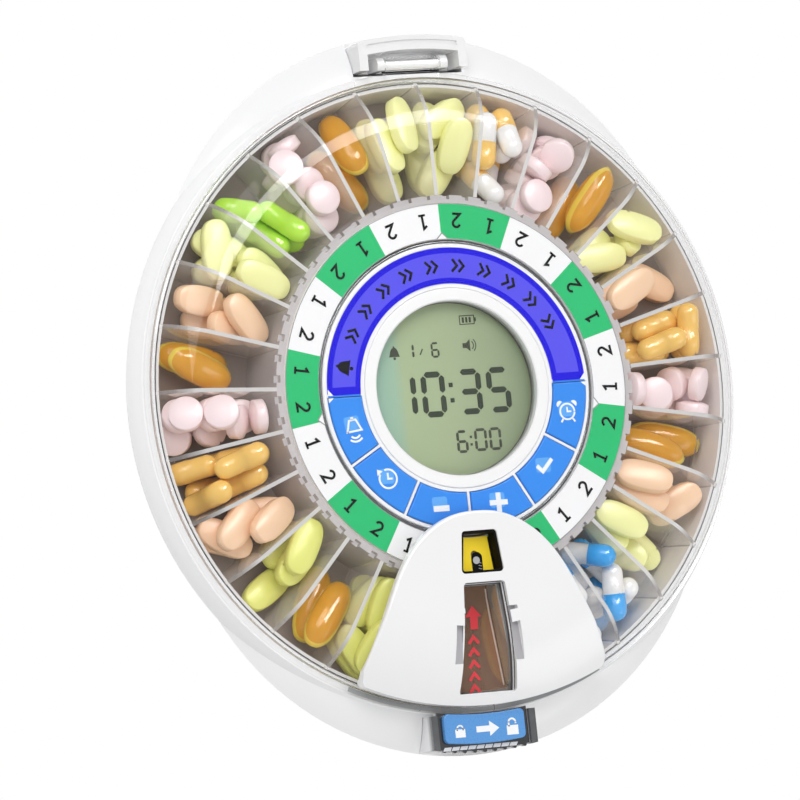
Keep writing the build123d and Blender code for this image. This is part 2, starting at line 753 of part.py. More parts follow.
with BuildPart() as lid_panel:
    with BuildSketch(Plane.XZ):
        with BuildLine():
            inside = lid_bend(0.0, LID_INNER_R)
            outside = lid_bend(LID_T, LID_SKIRT_R)
            Polyline(
                inside @ 1,
                (LID_INNER_R, LID_BOTTOM_Z),
                (LID_FLANGE_R, LID_BOTTOM_Z),
                (LID_FLANGE_R, LID_BOTTOM_Z + LID_FLANGE_T),
                (LID_SKIRT_R, LID_BOTTOM_Z + LID_FLANGE_T),
                outside @ 1,
            )
            Polyline(
                outside @ 0, (0, LID_CEILING_Z + LID_T), (0, LID_CEILING_Z), inside @ 0
            )
        make_face()
    revolve(axis=Axis.Z)
    # the flange stops either side of the hinge block and of the latch
    with BuildSketch(Plane.XY.offset(LID_BOTTOM_Z - 1)):
        Circle(LID_FLANGE_R + 1)
        Circle(LID_SKIRT_R, mode=Mode.SUBTRACT)
        Rectangle(2 * BLOCK_HALF + 1.6, 2 * CASE_HALF_Y, mode=Mode.INTERSECT)
    extrude(amount=LID_FLANGE_T + 1.2, mode=Mode.SUBTRACT)
    # the dispensing window and the marker window
    with BuildSketch(Plane.XY.offset(LID_BOTTOM_Z)) as lid_holes:
        for corners in (window_corners, marker_hole):
            with BuildLine():
                Polyline(*corners, close=True)
            make_face()
        fillet(lid_holes.vertices(), WINDOW_CORNER_R)
    extrude(amount=20, mode=Mode.SUBTRACT)
    # hinge barrel, its arm, and its bore
    with BuildSketch(Plane.YZ):
        with Locations((HINGE_Y, HINGE_Z)):
            Circle(HINGE_BARREL_R)
        with Locations(((95.8 + HINGE_Y) / 2, HINGE_Z + 0.4)):
            Rectangle(HINGE_Y - 95.8, 2.0)
    extrude(amount=HINGE_BARREL_HALF, both=True)
    with BuildSketch(Plane.YZ):
        with Locations((HINGE_Y, HINGE_Z)):
            Circle(HINGE_BORE_R)
    extrude(amount=HINGE_BARREL_HALF, both=True, mode=Mode.SUBTRACT)
    # keeper in front of the latch
    with BuildSketch(Plane.XY.offset(LID_BOTTOM_Z)):
        with Locations((0, -96.9)):
            Rectangle(11.0, 1.8)
    extrude(amount=1.8)
lid_panel.part.label = "lid_panel"
export_step(lid_panel.part, "parts/lid_panel.step")

# ---------------------------------------------------------------- wedge cover
WEDGE_SIDE = [(7.5, -38.6), (17.0, -43.2), (26.6, -54.0), (33.6, -68.0), (40.2, -83.0)]
WEDGE_APEX_Y = -37.8
wedge_corner = (40.2, -sqrt(LID_SKIRT_R**2 - 40.2**2))
POCKET_DEPTH = 2.0
pocket_corners = trapezoid(-67.2, -84.6, 10.1, 11.6)

with BuildPart() as wedge_cover:
    with BuildSketch(Plane.XY.offset(44)):
        with BuildLine():
            right = Spline((0, WEDGE_APEX_Y), *WEDGE_SIDE, tangents=[(1, 0), (0.36, -0.93)])
            mirror(right, about=Plane.YZ)
            foot = ThreePointArc(wedge_corner, (0, -LID_SKIRT_R), (-wedge_corner[0], wedge_corner[1]))
            Line(right @ 1, foot @ 0)
            Line((-WEDGE_SIDE[-1][0], WEDGE_SIDE[-1][1]), foot @ 1)
        make_face()
    extrude(amount=16)
    fillet(wedge_cover.edges().filter_by(Axis.Z).group_by(Axis.Y)[0], 2.5)
    # its top is flat over the hub and bows down to the skirt, its underside lies on the lid
    with BuildSketch(Plane.XZ):
        with BuildLine():
            top_line = Line((0, WEDGE_TOP_Z), (WEDGE_FLAT_R, WEDGE_TOP_Z))
            bow = ThreePointArc(top_line @ 1, (85.0, 53.1), (LID_SKIRT_R, WEDGE_EDGE_Z))
            underside = lid_bend(LID_T, LID_SKIRT_R)
            Line(bow @ 1, underside @ 1)
            Polyline(underside @ 0, (0, LID_CEILING_Z + LID_T), (0, WEDGE_TOP_Z))
        make_face()
    revolve(axis=Axis.Z, mode=Mode.INTERSECT)
    fillet(wedge_cover.faces().sort_by(Axis.Z)[-1].edges(), 0.8)
    with BuildSketch(Plane.XY.offset(44)) as wedge_holes:
        for corners in (window_corners, marker_hole):
            with BuildLine():
                Polyline(*corners, close=True)
            make_face()
        fillet(wedge_holes.vertices(), WINDOW_CORNER_R)
    extrude(amount=16, mode=Mode.SUBTRACT)
    # shallow finger pockets on both sides of the dispensing window
    with BuildSketch(Plane.XY.offset(WEDGE_TOP_Z)):
        with BuildLine():
            Polyline(*pocket_corners, close=True)
        make_face()
    extrude(amount=-POCKET_DEPTH, mode=Mode.SUBTRACT)
wedge_cover.part.label = "wedge_cover"
export_step(wedge_cover.part, "parts/wedge_cover.step")

# black sleeve that lines the marker window, from the cover's top to just over the number ring
SLEEVE_BOTTOM = RING_Z + 0.4
with BuildPart() as marker_sleeve:
    with BuildSketch(Plane.XY.offset(SLEEVE_BOTTOM)) as sleeve_outline:
        with BuildLine():
            Polyline(
                *trapezoid(
                    MARKER_TOP_Y, MARKER_BOTTOM_Y, MARKER_TOP_HALF, MARKER_BOTTOM_HALF, SLEEVE_T
                ),
                close=True,
            )
        make_face()
        fillet(sleeve_outline.vertices(), WINDOW_CORNER_R)
    extrude(amount=WEDGE_TOP_Z - 0.5 - SLEEVE_BOTTOM)
    with BuildSketch(Plane.XY.offset(SLEEVE_BOTTOM)) as sleeve_opening:
        with BuildLine():
            Polyline(*marker_corners, close=True)
        make_face()
        fillet(sleeve_opening.vertices(), WINDOW_CORNER_R - 0.5)
    extrude(amount=10, mode=Mode.SUBTRACT)
marker_sleeve.part.label = "marker_sleeve"
export_step(marker_sleeve.part, "parts/marker_sleeve.step")

# ---------------------------------------------------------------- rear block and hinge pin
BLOCK_FRONT_Y = 98.9
POCKET_HALF = 15.1
POCKET_BACK_R = 104.9
POCKET_FLOOR_Z = WIDEST_Z + 1.6
EAR_INNER_X = HINGE_BARREL_HALF + 0.3
EAR_OUTER_X = EAR_INNER_X + 2.4
EAR_R = 2.5
PIN_HALF = EAR_OUTER_X - 0.5
with BuildPart() as hinge_block:
    with BuildSketch(Plane.XY.offset(WIDEST_Z)):
        Circle(BLOCK_BACK_R)
        with Locations((0, 106.0)):
            Rectangle(2 * BLOCK_HALF, 2 * (106.0 - BLOCK_FRONT_Y), mode=Mode.INTERSECT)
    extrude(amount=BLOCK_TOP - WIDEST_Z)
    fillet(hinge_block.edges().filter_by(Axis.Z).group_by(Axis.Y)[-1], 2.0)
    # wide recess that is open towards the lid
    with BuildSketch(Plane.XY.offset(POCKET_FLOOR_Z)):
        Circle(POCKET_BACK_R)
        with Locations((0, 106.0)):
            Rectangle(2 * POCKET_HALF, 2 * (107.0 - BLOCK_FRONT_Y), mode=Mode.INTERSECT)
    extrude(amount=BLOCK_TOP, mode=Mode.SUBTRACT)
    # curved step in the top behind the recess
    with BuildSketch(Plane.XY.offset(BLOCK_TOP - 0.6)):
        Circle(107.9)
        Circle(106.5, mode=Mode.SUBTRACT)
        with Locations((0, 106.0)):
            Rectangle(2 * POCKET_HALF, 8.0, mode=Mode.INTERSECT)
    extrude(amount=1.0, mode=Mode.SUBTRACT)
    # two ears in the recess hold the pin
    with BuildSketch(Plane.YZ):
        with Locations((HINGE_Y, HINGE_Z)):
            Circle(EAR_R)
        with Locations((HINGE_Y, (HINGE_Z + WIDEST_Z + 1.0) / 2)):
            Rectangle(2 * EAR_R, HINGE_Z - WIDEST_Z - 1.0)
        with Locations((BLOCK_FRONT_Y - 2.0, HINGE_Z)):
            Rectangle(4.0, 20.0, mode=Mode.SUBTRACT)
    extrude(amount=EAR_OUTER_X, both=True)
    with BuildSketch(Plane.XY.offset(POCKET_FLOOR_Z)):
        with Locations((0, (BLOCK_FRONT_Y + HINGE_Y + HINGE_BARREL_R + 0.3) / 2)):
            Rectangle(2 * EAR_INNER_X, HINGE_Y + HINGE_BARREL_R + 0.3 - BLOCK_FRONT_Y)
    extrude(amount=BLOCK_TOP, mode=Mode.SUBTRACT)
    with BuildSketch(Plane.YZ):
        with Locations((HINGE_Y, HINGE_Z)):
            Circle(HINGE_BORE_R)
    extrude(amount=PIN_HALF + 0.1, both=True, mode=Mode.SUBTRACT)
hinge_block.part.label = "hinge_block"
export_step(hinge_block.part, "parts/hinge_block.step")

with BuildPart() as hinge_pin:
    with BuildSketch(Plane.YZ):
        with Locations((HINGE_Y, HINGE_Z)):
            Circle(HINGE_PIN_R)
    extrude(amount=PIN_HALF, both=True)
hinge_pin.part.label = "hinge_pin"
export_step(hinge_pin.part, "parts/hinge_pin.step")

# ---------------------------------------------------------------- latch
LATCH_BACK_Y = -98.2  # faces the lid's keeper
SLIDER_Z = 36.3
SLIDER_SHELF_Z = 40.9
SLIDER_TOP_Z = 43.2
FRONT_WALL_Y = -108.4
FRONT_WALL_TOP = 40.5
SLIDER_BLOCK_Y = FRONT_WALL_Y + LATCH_TRAVEL + 3.1

with BuildPart() as latch_housing:
    with BuildSketch(Plane.XY.offset(WIDEST_Z)):
        Circle(LATCH_FRONT_Y)
        with Locations((0, -105.0)):
            Rectangle(2 * LATCH_HALF, 2 * (105.0 + LATCH_BACK_Y), mode=Mode.INTERSECT)
    extrude(amount=LATCH_TOP - WIDEST_Z)
    with BuildSketch(Plane.XY.offset(SLIDER_Z - 0.3)):
        with Locations((0, (LATCH_BACK_Y + FRONT_WALL_Y) / 2)):
            Rectangle(2 * SLIDER_HALF + 0.6, LATCH_BACK_Y - FRONT_WALL_Y)
    extrude(amount=LATCH_TOP, mode=Mode.SUBTRACT)
    with BuildSketch(Plane.XY.offset(FRONT_WALL_TOP)):
        with Locations((0, -105.0)):
            Rectangle(2 * SLIDER_HALF + 0.6, 14.0)
    extrude(amount=LATCH_TOP, mode=Mode.SUBTRACT)
latch_housing.part.label = "latch_housing"
export_step(latch_housing.part, "parts/latch_housing.step")

GRIP_RIBS = 9
with BuildPart() as latch_slider:
    with BuildSketch(Plane.XY.offset(SLIDER_SHELF_Z)):
        Circle(-FRONT_WALL_Y + 1.2)
        Circle(-LATCH_BACK_Y + 0.2, mode=Mode.SUBTRACT)
        with Locations((0, -105.0)):
            Rectangle(2 * SLIDER_HALF, 20.0, mode=Mode.INTERSECT)
    extrude(amount=SLIDER_TOP_Z - SLIDER_SHELF_Z)
    with BuildSketch(Plane.XY.offset(SLIDER_Z)):
        with Locations((0, (SLIDER_BLOCK_Y + LATCH_BACK_Y - 0.4) / 2)):
            Rectangle(2 * SLIDER_HALF, LATCH_BACK_Y - 0.4 - SLIDER_BLOCK_Y)
    extrude(amount=SLIDER_SHELF_Z - SLIDER_Z)
    # ribs on the front edge for the finger
    with BuildSketch(Plane.XY.offset(SLIDER_SHELF_Z)):
        with PolarLocations(
            -FRONT_WALL_Y + 1.3, GRIP_RIBS, start_angle=-97.0, angular_range=14.0, endpoint=True
        ):
            Circle(0.6)
    extrude(amount=SLIDER_TOP_Z - SLIDER_SHELF_Z)
latch_slider.part.label = "latch_slider"
export_step(latch_slider.part, "parts/latch_slider.step")

with BuildPart() as latch_plate:
    with BuildSketch(Plane.XY.offset(SLIDER_TOP_Z)) as plate_outline:
        Circle(107.6)
        Circle(98.6, mode=Mode.SUBTRACT)
        with Locations((0, -105.0)):
            Rectangle(2 * PLATE_HALF, 20.0, mode=Mode.INTERSECT)
        fillet(plate_outline.vertices(), 1.6)
    extrude(amount=1.7)
    fillet(latch_plate.edges().group_by(Axis.Z)[-1], 0.4)
latch_plate.part.label = "latch_plate"
export_step(latch_plate.part, "parts/latch_plate.step")

SPRING_R = 1.35
SPRING_WIRE_R = 0.2
SPRING_TURNS = 5
spring_length = SLIDER_BLOCK_Y - FRONT_WALL_Y - 0.5
spring_z = SLIDER_Z + 1.9
with BuildPart() as latch_springs:
    for x in (-8.0, 8.0):
        with BuildLine():
            coil = Helix(
                pitch=spring_length / SPRING_TURNS,
                height=spring_length,
                radius=SPRING_R,
                center=(x, FRONT_WALL_Y + 0.25, spring_z),
                direction=(0, 1, 0),
            )
        with BuildSketch(Plane(origin=coil @ 0, z_dir=coil % 0)):
            Circle(SPRING_WIRE_R)
        sweep(path=coil)
latch_springs.part.label = "latch_springs"
export_step(latch_springs.part, "parts/latch_springs.step")

# ---------------------------------------------------------------- battery bay, cells and door
BAY_WALL = 1.4
bay_top = DECK_Z - 0.6
bay_half = 2 * CELL_PITCH + BAY_WALL + 0.4
with BuildPart() as battery_bay:
    with BuildSketch(Plane.XY.offset(bowl_floor_z)):
        with Locations((0, (BAY_FRONT_Y + BAY_BACK_Y) / 2)):
            Rectangle(2 * bay_half + 3.6, BAY_BACK_Y - BAY_FRONT_Y + 2 * BAY_WALL)
            Rectangle(2 * bay_half + 0.8, BAY_BACK_Y - BAY_FRONT_Y, mode=Mode.SUBTRACT)
    extrude(amount=bay_top - bowl_floor_z)
    with BuildSketch(Plane.XY.offset(bay_top - BAY_WALL)):
        with Locations((0, (BAY_FRONT_Y + BAY_BACK_Y) / 2)):
            Rectangle(2 * bay_half + 3.6, BAY_BACK_Y - BAY_FRONT_Y + 2 * BAY_WALL)
    extrude(amount=BAY_WALL)
battery_bay.part.label = "battery_bay"
export_step(battery_bay.part, "parts/battery_bay.step")

cell_xs = [CELL_PITCH * (i - 1.5) for i in range(4)]
cell_z = bay_top - BAY_WALL - CELL_R - 0.2
cell_front_y = (BAY_FRONT_Y + BAY_BACK_Y - CELL_LENGTH) / 2
with BuildPart() as batteries:
    with BuildSketch(Plane.XZ.offset(-cell_front_y - CELL_LENGTH + 1.2)):
        with Locations(*[(x, cell_z) for x in cell_xs]):
            Circle(CELL_R)
    extrude(amount=CELL_LENGTH - 1.2)
    for i, x in enumerate(cell_xs):
        tip_y = cell_front_y + (CELL_LENGTH if i % 2 else 1.2)
        with BuildSketch(Plane.XZ.offset(-tip_y)):
            with Locations((x, cell_z)):
                Circle(2.7)
        extrude(amount=1.2)
batteries.part.label = "batteries"
export_step(batteries.part, "parts/batteries.step")

with BuildPart() as battery_contacts:
    for plate_y in (BAY_FRONT_Y, BAY_BACK_Y - 0.5):
        with BuildSketch(Plane.XZ.offset(-plate_y - 0.5)):
            with Locations(*[(x, cell_z) for x in cell_xs]):
                RectangleRounded(10, 10, 1)
        extrude(amount=0.5)
battery_contacts.part.label = "battery_contacts"
export_step(battery_contacts.part, "parts/battery_contacts.step")

door_front_y = BAY_FRONT_Y + DOOR_TRAVEL + 0.5
with BuildPart() as battery_door:
    with BuildSketch(Plane.XY.offset(FOOT_HEIGHT)):
        with Locations((0, (door_front_y + BAY_BACK_Y - 0.3) / 2)):
            Rectangle(2 * DOOR_HALF, BAY_BACK_Y - 0.3 - door_front_y)
    extrude(amount=BASE_FLOOR + 0.1)
    with BuildSketch(Plane.XY.offset(bowl_floor_z + 0.1)):
        for low, high in door_tabs:
            with Locations((0, (low + high) / 2)):
                Rectangle(2 * DOOR_HALF + 3.6, high - low)
    extrude(amount=0.9)
    # thumb ridges
    with BuildSketch(Plane.XY.offset(FOOT_HEIGHT)):
        with Locations((0, door_front_y + 9)):
            with GridLocations(0, 2.4, 1, 4):
                SlotOverall(20, 1.1)
    extrude(amount=0.5, mode=Mode.SUBTRACT)
battery_door.part.label = "battery_door"
export_step(battery_door.part, "parts/battery_door.step")
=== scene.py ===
"""Looks of the automatic pill dispenser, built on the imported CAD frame. Metres; helpers take mm."""

import math
import random

import bmesh
import bpy
from mathutils import Euler, Matrix, Vector


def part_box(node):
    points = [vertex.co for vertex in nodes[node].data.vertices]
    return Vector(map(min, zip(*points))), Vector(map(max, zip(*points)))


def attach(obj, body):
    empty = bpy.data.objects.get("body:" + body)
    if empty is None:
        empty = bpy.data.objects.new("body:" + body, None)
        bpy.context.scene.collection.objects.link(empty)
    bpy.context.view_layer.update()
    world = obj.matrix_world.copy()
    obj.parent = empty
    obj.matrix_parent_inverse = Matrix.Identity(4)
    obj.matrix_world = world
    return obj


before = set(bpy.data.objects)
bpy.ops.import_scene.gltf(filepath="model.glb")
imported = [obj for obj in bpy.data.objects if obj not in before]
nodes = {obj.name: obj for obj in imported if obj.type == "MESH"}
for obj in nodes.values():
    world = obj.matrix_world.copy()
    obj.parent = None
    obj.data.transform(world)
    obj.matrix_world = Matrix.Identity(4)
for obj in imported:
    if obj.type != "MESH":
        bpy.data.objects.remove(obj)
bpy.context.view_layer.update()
scene = bpy.context.scene
MM = 0.001

# ---------------------------------------------------------------- facts shared with the solids, in mm
SLOTS = 29
PITCH = 360.0 / SLOTS
START_ANGLE = -90.0
RING_Z = 50.0
RING_INNER_R = 45.4
RING_OUTER_R = 56.4
KEY_TOP = 50.5
LABEL_TOP = 50.2
LCD_Z = 45.2
LABEL_INNER_R = 31.9
LABEL_OUTER_R = 42.8
WEDGE_TOP_Z = 55.2
COVER_FLAT_R = 69.0
COVER_ARC = ((69.0, 55.2), (85.0, 53.1), (96.3, 47.9))
WINDOW_TOP_Y, WINDOW_END_Y = -59.5, -93.0
WINDOW_TOP_HALF, WINDOW_END_HALF = 6.8, 9.6
POCKET_TOP_Y, POCKET_END_Y = -67.3, -83.6
POCKET_TOP_HALF, POCKET_END_HALF = 10.02, 11.45
POCKET_FLOOR_Z = 53.2
TRAY_FLOOR = 25.5
LATCH_PLATE_TOP = 44.9
SLIDER_TOP = 43.2
START_PLATE_TOP = 43.3
LID_FLANGE_TOP = 40.6
LID_CEILING = 51.2
LID_BEND_START = 79.1
LID_BEND_R = 18.1


# ---------------------------------------------------------------- materials
def srgb(red, green, blue):
    """0 to 255 screen values as the linear colour a shader takes."""
    out = []
    for value in (red, green, blue):
        c = value / 255.0
        out.append(c / 12.92 if c <= 0.04045 else ((c + 0.055) / 1.055) ** 2.4)
    return (*out, 1.0)


def scaled(colour, factor):
    return (*[min(1.0, c * factor) for c in colour[:3]], 1.0)


def new_node(tree, kind, inputs=None, **settings):
    """A new shader node. Each of its inputs gets a value, or a link from another node's output."""
    node = tree.nodes.new("ShaderNode" + kind)
    for key, value in settings.items():
        setattr(node, key, value)
    for key, value in (inputs or {}).items():
        if isinstance(value, bpy.types.NodeSocket):
            tree.links.new(value, node.inputs[key])
        else:
            node.inputs[key].default_value = value
    return node


def blended(tree, share, first, second, blend="MIX"):
    """A colour between two others, each of them a value or an output."""
    mix = new_node(tree, "Mix", {"Factor": share, "A": first, "B": second}, data_type="RGBA",
                   blend_type=blend)
    return mix.outputs["Result"]


def axis_share(tree, vector, axis, low, high):
    """An output that goes from 0 to 1 while one axis of a vector goes from low to high."""
    split = new_node(tree, "SeparateXYZ", {0: vector})
    return new_node(tree, "MapRange", {"Value": split.outputs[axis], "From Min": low,
                                       "From Max": high}).outputs[0]


GLOSS_SPREAD = 0.15  # how much the grain varies the roughness
RELIEF_DEPTH = 0.0001  # metres
COAT_ROUGHNESS = 0.04
LOOKS_UP = (0.75, 0.95)  # the normal's Z where the painted top highlight begins and where it is full
TOP_CLEAR = 0.45  # how much of the clearness is left on a face with the painted top highlight


def surface(name, colour, rough, vary=0.04, patch=45.0, grain=1800.0, bump=0.04, metallic=0.0,
            clear=0.0, ior=1.46, coat=0.0, top=None, spec=0.5, across=None, rise=None):
    """A moulded or printed surface: soft patches of tone, a fine grain in relief and in gloss.
    top is a lighter colour painted on faces that look up, a painted highlight on the top edge of a clear
    wall.
    across is a run of (x in mm, colour), and rise is (z, z, colour) for what is below those heights."""
    material = bpy.data.materials.new(name)
    material.use_nodes = True
    tree = material.node_tree
    tree.nodes.clear()
    place = new_node(tree, "TexCoord").outputs["Object"]
    broad = new_node(tree, "TexNoise", {"Vector": place, "Scale": patch, "Detail": 3.0}).outputs["Fac"]
    fine = new_node(tree, "TexNoise", {"Vector": place, "Scale": grain, "Detail": 2.0}).outputs["Fac"]
    base = blended(tree, broad, scaled(colour, 1.0 - vary), scaled(colour, 1.0 + vary))
    # across paints a colour that runs along x: painted sheen and painted shade across the display
    if across is not None:
        low, high = across[0][0], across[-1][0]
        ramp = new_node(tree, "ValToRGB", {"Fac": axis_share(tree, place, "X", low * MM, high * MM)})
        stops = ramp.color_ramp.elements
        stops[0].color = across[0][1]
        stops[-1].color = across[-1][1]
        for x, stop_colour in across[1:-1]:
            stops.new((x - low) / (high - low)).color = stop_colour
        base = blended(tree, 1.0, ramp.outputs["Color"], base, "MULTIPLY")
    # rise paints a pale colour on what is below a height: a painted reflection
    if rise is not None:
        level = axis_share(tree, place, "Z", rise[0] * MM, rise[1] * MM)
        base = blended(tree, level, rise[2], base)
    see_through = clear
    # faces that look up take the top colour: a painted highlight
    if top is not None:
        normal = new_node(tree, "NewGeometry").outputs["Normal"]
        top_highlight_share = axis_share(tree, normal, "Z", *LOOKS_UP)
        base = blended(tree, top_highlight_share, base, top)
        see_through = new_node(tree, "MapRange", {"Value": top_highlight_share, "To Min": clear,
                                                  "To Max": clear * TOP_CLEAR}).outputs[0]
    gloss = new_node(tree, "MapRange", {"Value": fine, "To Min": max(0.0, rough * (1 - GLOSS_SPREAD)),
                                        "To Max": min(1.0, rough * (1 + GLOSS_SPREAD))})
    relief = new_node(tree, "Bump", {"Strength": bump, "Distance": RELIEF_DEPTH, "Height": fine})
    shader = new_node(tree, "BsdfPrincipled", {
        "Base Color": base, "Metallic": metallic, "Roughness": gloss.outputs[0], "IOR": ior,
        "Normal": relief.outputs[0], "Specular IOR Level": spec, "Transmission Weight": see_through,
        "Coat Weight": coat, "Coat Roughness": COAT_ROUGHNESS})
    new_node(tree, "OutputMaterial", {"Surface": shader.outputs[0]})
    return material


white = surface("white_moulding", srgb(246, 246, 247), 0.22, vary=0.012, bump=0.03, coat=0.25)
white_satin = surface("white_satin", srgb(247, 247, 248), 0.3, vary=0.012, bump=0.05)
fascia_white = surface("white_fascia", srgb(250, 250, 250), 0.32, vary=0.01, bump=0.03)
lid_clear = surface("clear_lid", srgb(253, 253, 253), 0.0, vary=0.006, bump=0.0, clear=1.0, ior=1.24)
# the clear walls and the hinge block take a lighter top colour: a painted highlight on faces that look up
wall_clear = surface("clear_wall", srgb(238, 234, 231), 0.02, vary=0.04, bump=0.01, clear=0.8,
                     ior=1.16, top=srgb(250, 249, 248))
outer_clear = surface("clear_outer_wall", srgb(230, 224, 221), 0.12, vary=0.1, patch=30.0, bump=0.03,
                      clear=0.2, ior=1.25, top=srgb(236, 234, 233), spec=0.35)
floor_smoky = surface("smoky_floor", srgb(150, 138, 132), 0.25, vary=0.14, patch=60.0, clear=0.1,
                      ior=1.3, spec=0.3)
inner_clear = surface("clear_inner_wall", srgb(198, 192, 192), 0.1, vary=0.08, clear=0.45, ior=1.25,
                      top=srgb(216, 211, 212))
window_clear = surface("clear_window", srgb(253, 254, 253), 0.0, vary=0.006, bump=0.0, clear=1.0,
                       ior=1.12)
plate_clear = surface("clear_start_plate", srgb(246, 212, 190), 0.0, vary=0.05, bump=0.0, clear=0.9,
                      ior=1.16)
# smoky latch and slider: their strong patches of tone are painted streaks of reflection, and the pale
# colour below a height is a painted reflection on their lower parts
latch_smoky_reflected = surface("smoky_latch_painted_reflection", srgb(84, 86, 88), 0.06, vary=0.3, patch=160.0, bump=0.03,
                      clear=0.2, coat=0.8, rise=(41.0, 43.6, srgb(240, 240, 242)))
slider_smoky_reflected = surface("smoky_slider_painted_reflection", srgb(46, 48, 51), 0.06, vary=0.4, patch=240.0, bump=0.03,
                       clear=0.1, coat=0.9, rise=(41.4, 43.0, srgb(228, 229, 232)))
# its lighter top colour is a painted highlight
hinge_clear = surface("clear_hinge_block", srgb(250, 250, 251), 0.08, vary=0.02, bump=0.02, clear=0.25,
                      ior=1.3, coat=0.4, top=srgb(252, 252, 252))
# dark metal look of the groove's painted shade
groove_shade_metal = surface("groove_shade_metal", srgb(112, 113, 115), 0.25, vary=0.15, metallic=0.6, bump=0.03)
seam_grey = surface("seam_grey", srgb(150, 150, 152), 0.3, vary=0.08, bump=0.03)
# painted shade on the wall of the display's well
well_shade_grey = surface("well_shade_grey", srgb(206, 208, 208), 0.35, vary=0.05, bump=0.03, spec=0.2)
# painted shade on the pockets' floors
pocket_shade_grey = surface("pocket_shade_grey", srgb(178, 176, 180), 0.3, vary=0.05, patch=120.0, bump=0.03)
# dark of painted shade, in the display's edge and in the window's steps
painted_shade_dark = surface("painted_shade_dark", srgb(92, 88, 86), 0.25, vary=0.1, bump=0.03)
# white of the painted glints on the slider's ribs
painted_glint_white = surface("painted_glint_white", srgb(226, 227, 230), 0.1, vary=0.12, patch=300.0, bump=0.02,
                      coat=0.6)
glint_clear = surface("glint_clear", srgb(226, 208, 198), 0.2, vary=0.05, bump=0.03)
skirt_shadow_grey = surface("skirt_shadow_grey", srgb(158, 160, 162), 0.2, vary=0.08, patch=20.0, coat=0.5)
rim_shade_dark = surface("rim_shade_dark", srgb(52, 52, 54), 0.4, vary=0.08, bump=0.03)
ring_white = surface("ring_white", srgb(250, 250, 251), 0.4, vary=0.012, bump=0.03, spec=0.3)
ring_green = surface("ring_green", srgb(40, 194, 118), 0.45, vary=0.03, patch=80.0, bump=0.03, spec=0.15)
print_black = surface("print_black", srgb(10, 10, 12), 0.6, vary=0.1, bump=0.03, spec=0.08)
yellow = surface("start_yellow", srgb(255, 222, 48), 0.3, vary=0.05, spec=0.2)
chrome = surface("bright_chrome", srgb(214, 214, 216), 0.08, vary=0.05, metallic=1.0, bump=0.02)
steel = surface("spring_steel", srgb(170, 171, 174), 0.22, vary=0.08, metallic=1.0)
black = surface("black_plastic", srgb(22, 21, 22), 0.35, vary=0.12)
sleeve_black = surface("sleeve_black", srgb(12, 11, 12), 0.6, vary=0.12, spec=0.08)
purple = surface("label_purple", srgb(88, 82, 240), 0.45, vary=0.02, bump=0.02, spec=0.15)
deep_blue = surface("label_blue", srgb(22, 4, 226), 0.45, vary=0.03, bump=0.02, spec=0.1)
key_blue = surface("key_blue", srgb(46, 142, 244), 0.35, vary=0.03, bump=0.03, spec=0.25)
# lighter blue patches on the keys: a painted glare
key_painted_glare = surface("key_painted_glare", srgb(96, 174, 250), 0.35, vary=0.06, patch=220.0, bump=0.02, spec=0.25)
icon_white = surface("icon_white", srgb(250, 252, 255), 0.35, vary=0.01, bump=0.02)
plate_blue = surface("latch_blue", srgb(92, 156, 222), 0.28, vary=0.03, bump=0.03)
# the display runs lighter and bluer at the left and darker at the right: painted sheen and painted shade
lcd_back_sheen_and_shade = surface("lcd_back_sheen_and_shade", (0.97, 0.97, 0.97, 1.0), 0.4, vary=0.04, patch=22.0, bump=0.02, spec=0.2,
                   across=[(-27.0, srgb(158, 196, 180)), (-18.5, srgb(164, 196, 172)),
                           (-15.0, srgb(176, 192, 152)), (2.0, srgb(170, 184, 148)),
                           (27.0, srgb(144, 158, 126))])
lcd_ink = surface("lcd_ink", srgb(58, 66, 54), 0.5, vary=0.05, bump=0.02, spec=0.1)
lcd_grey = surface("lcd_grey", srgb(72, 76, 64), 0.5, vary=0.05, bump=0.02, spec=0.1)
red = surface("arrow_red", srgb(250, 62, 74), 0.35, vary=0.03, bump=0.02)
rubber = surface("foot_rubber", srgb(88, 88, 90), 0.75, vary=0.1, grain=2600.0, bump=0.2)
board = surface("board_green", srgb(20, 96, 54), 0.4, vary=0.1)
nylon = surface("gear_nylon", srgb(226, 222, 210), 0.4, vary=0.04)
brass = surface("gear_brass", srgb(196, 160, 84), 0.25, vary=0.06, metallic=1.0)
jacket = surface("cell_jacket", srgb(48, 52, 58), 0.3, vary=0.1, metallic=0.4)

for name, material in {
    "base_shell": white, "top_casing": white, "hub_housing": white_satin, "hub_fascia": fascia_white,
    "display_bezel": fascia_white, "hinge_block": hinge_clear, "wedge_cover": white,
    "battery_door": white_satin, "lid_panel": lid_clear, "tray_floor": floor_smoky,
    "tray_outer_wall": outer_clear, "tray_inner_wall": inner_clear, "tray_dividers": wall_clear,
    "start_plate": plate_clear, "number_ring": ring_white, "start_sector": yellow,
    "marker_sleeve": sleeve_black, "battery_bay": black, "alarm_label": purple, "key_bell": key_blue,
    "key_clock": key_blue, "key_minus": key_blue, "key_plus": key_blue, "key_confirm": key_blue,
    "key_alarm": key_blue, "latch_plate": plate_blue, "latch_housing": latch_smoky_reflected,
    "latch_slider": slider_smoky_reflected, "display_window": window_clear, "display_module": lcd_back_sheen_and_shade,
    "main_board": board, "key_mat": rubber, "feet": rubber, "start_screw": chrome,
    "casing_screws": chrome, "hinge_pin": white_satin, "latch_springs": steel, "battery_contacts": steel,
    "drive_motor": steel, "ring_gear": nylon, "drive_gearbox": nylon, "tilt_switch": nylon,
    "drive_pinion": brass, "buzzer": brass, "batteries": jacket,
}.items():
    mesh = nodes[name].data
    mesh.materials.clear()
    mesh.materials.append(material)

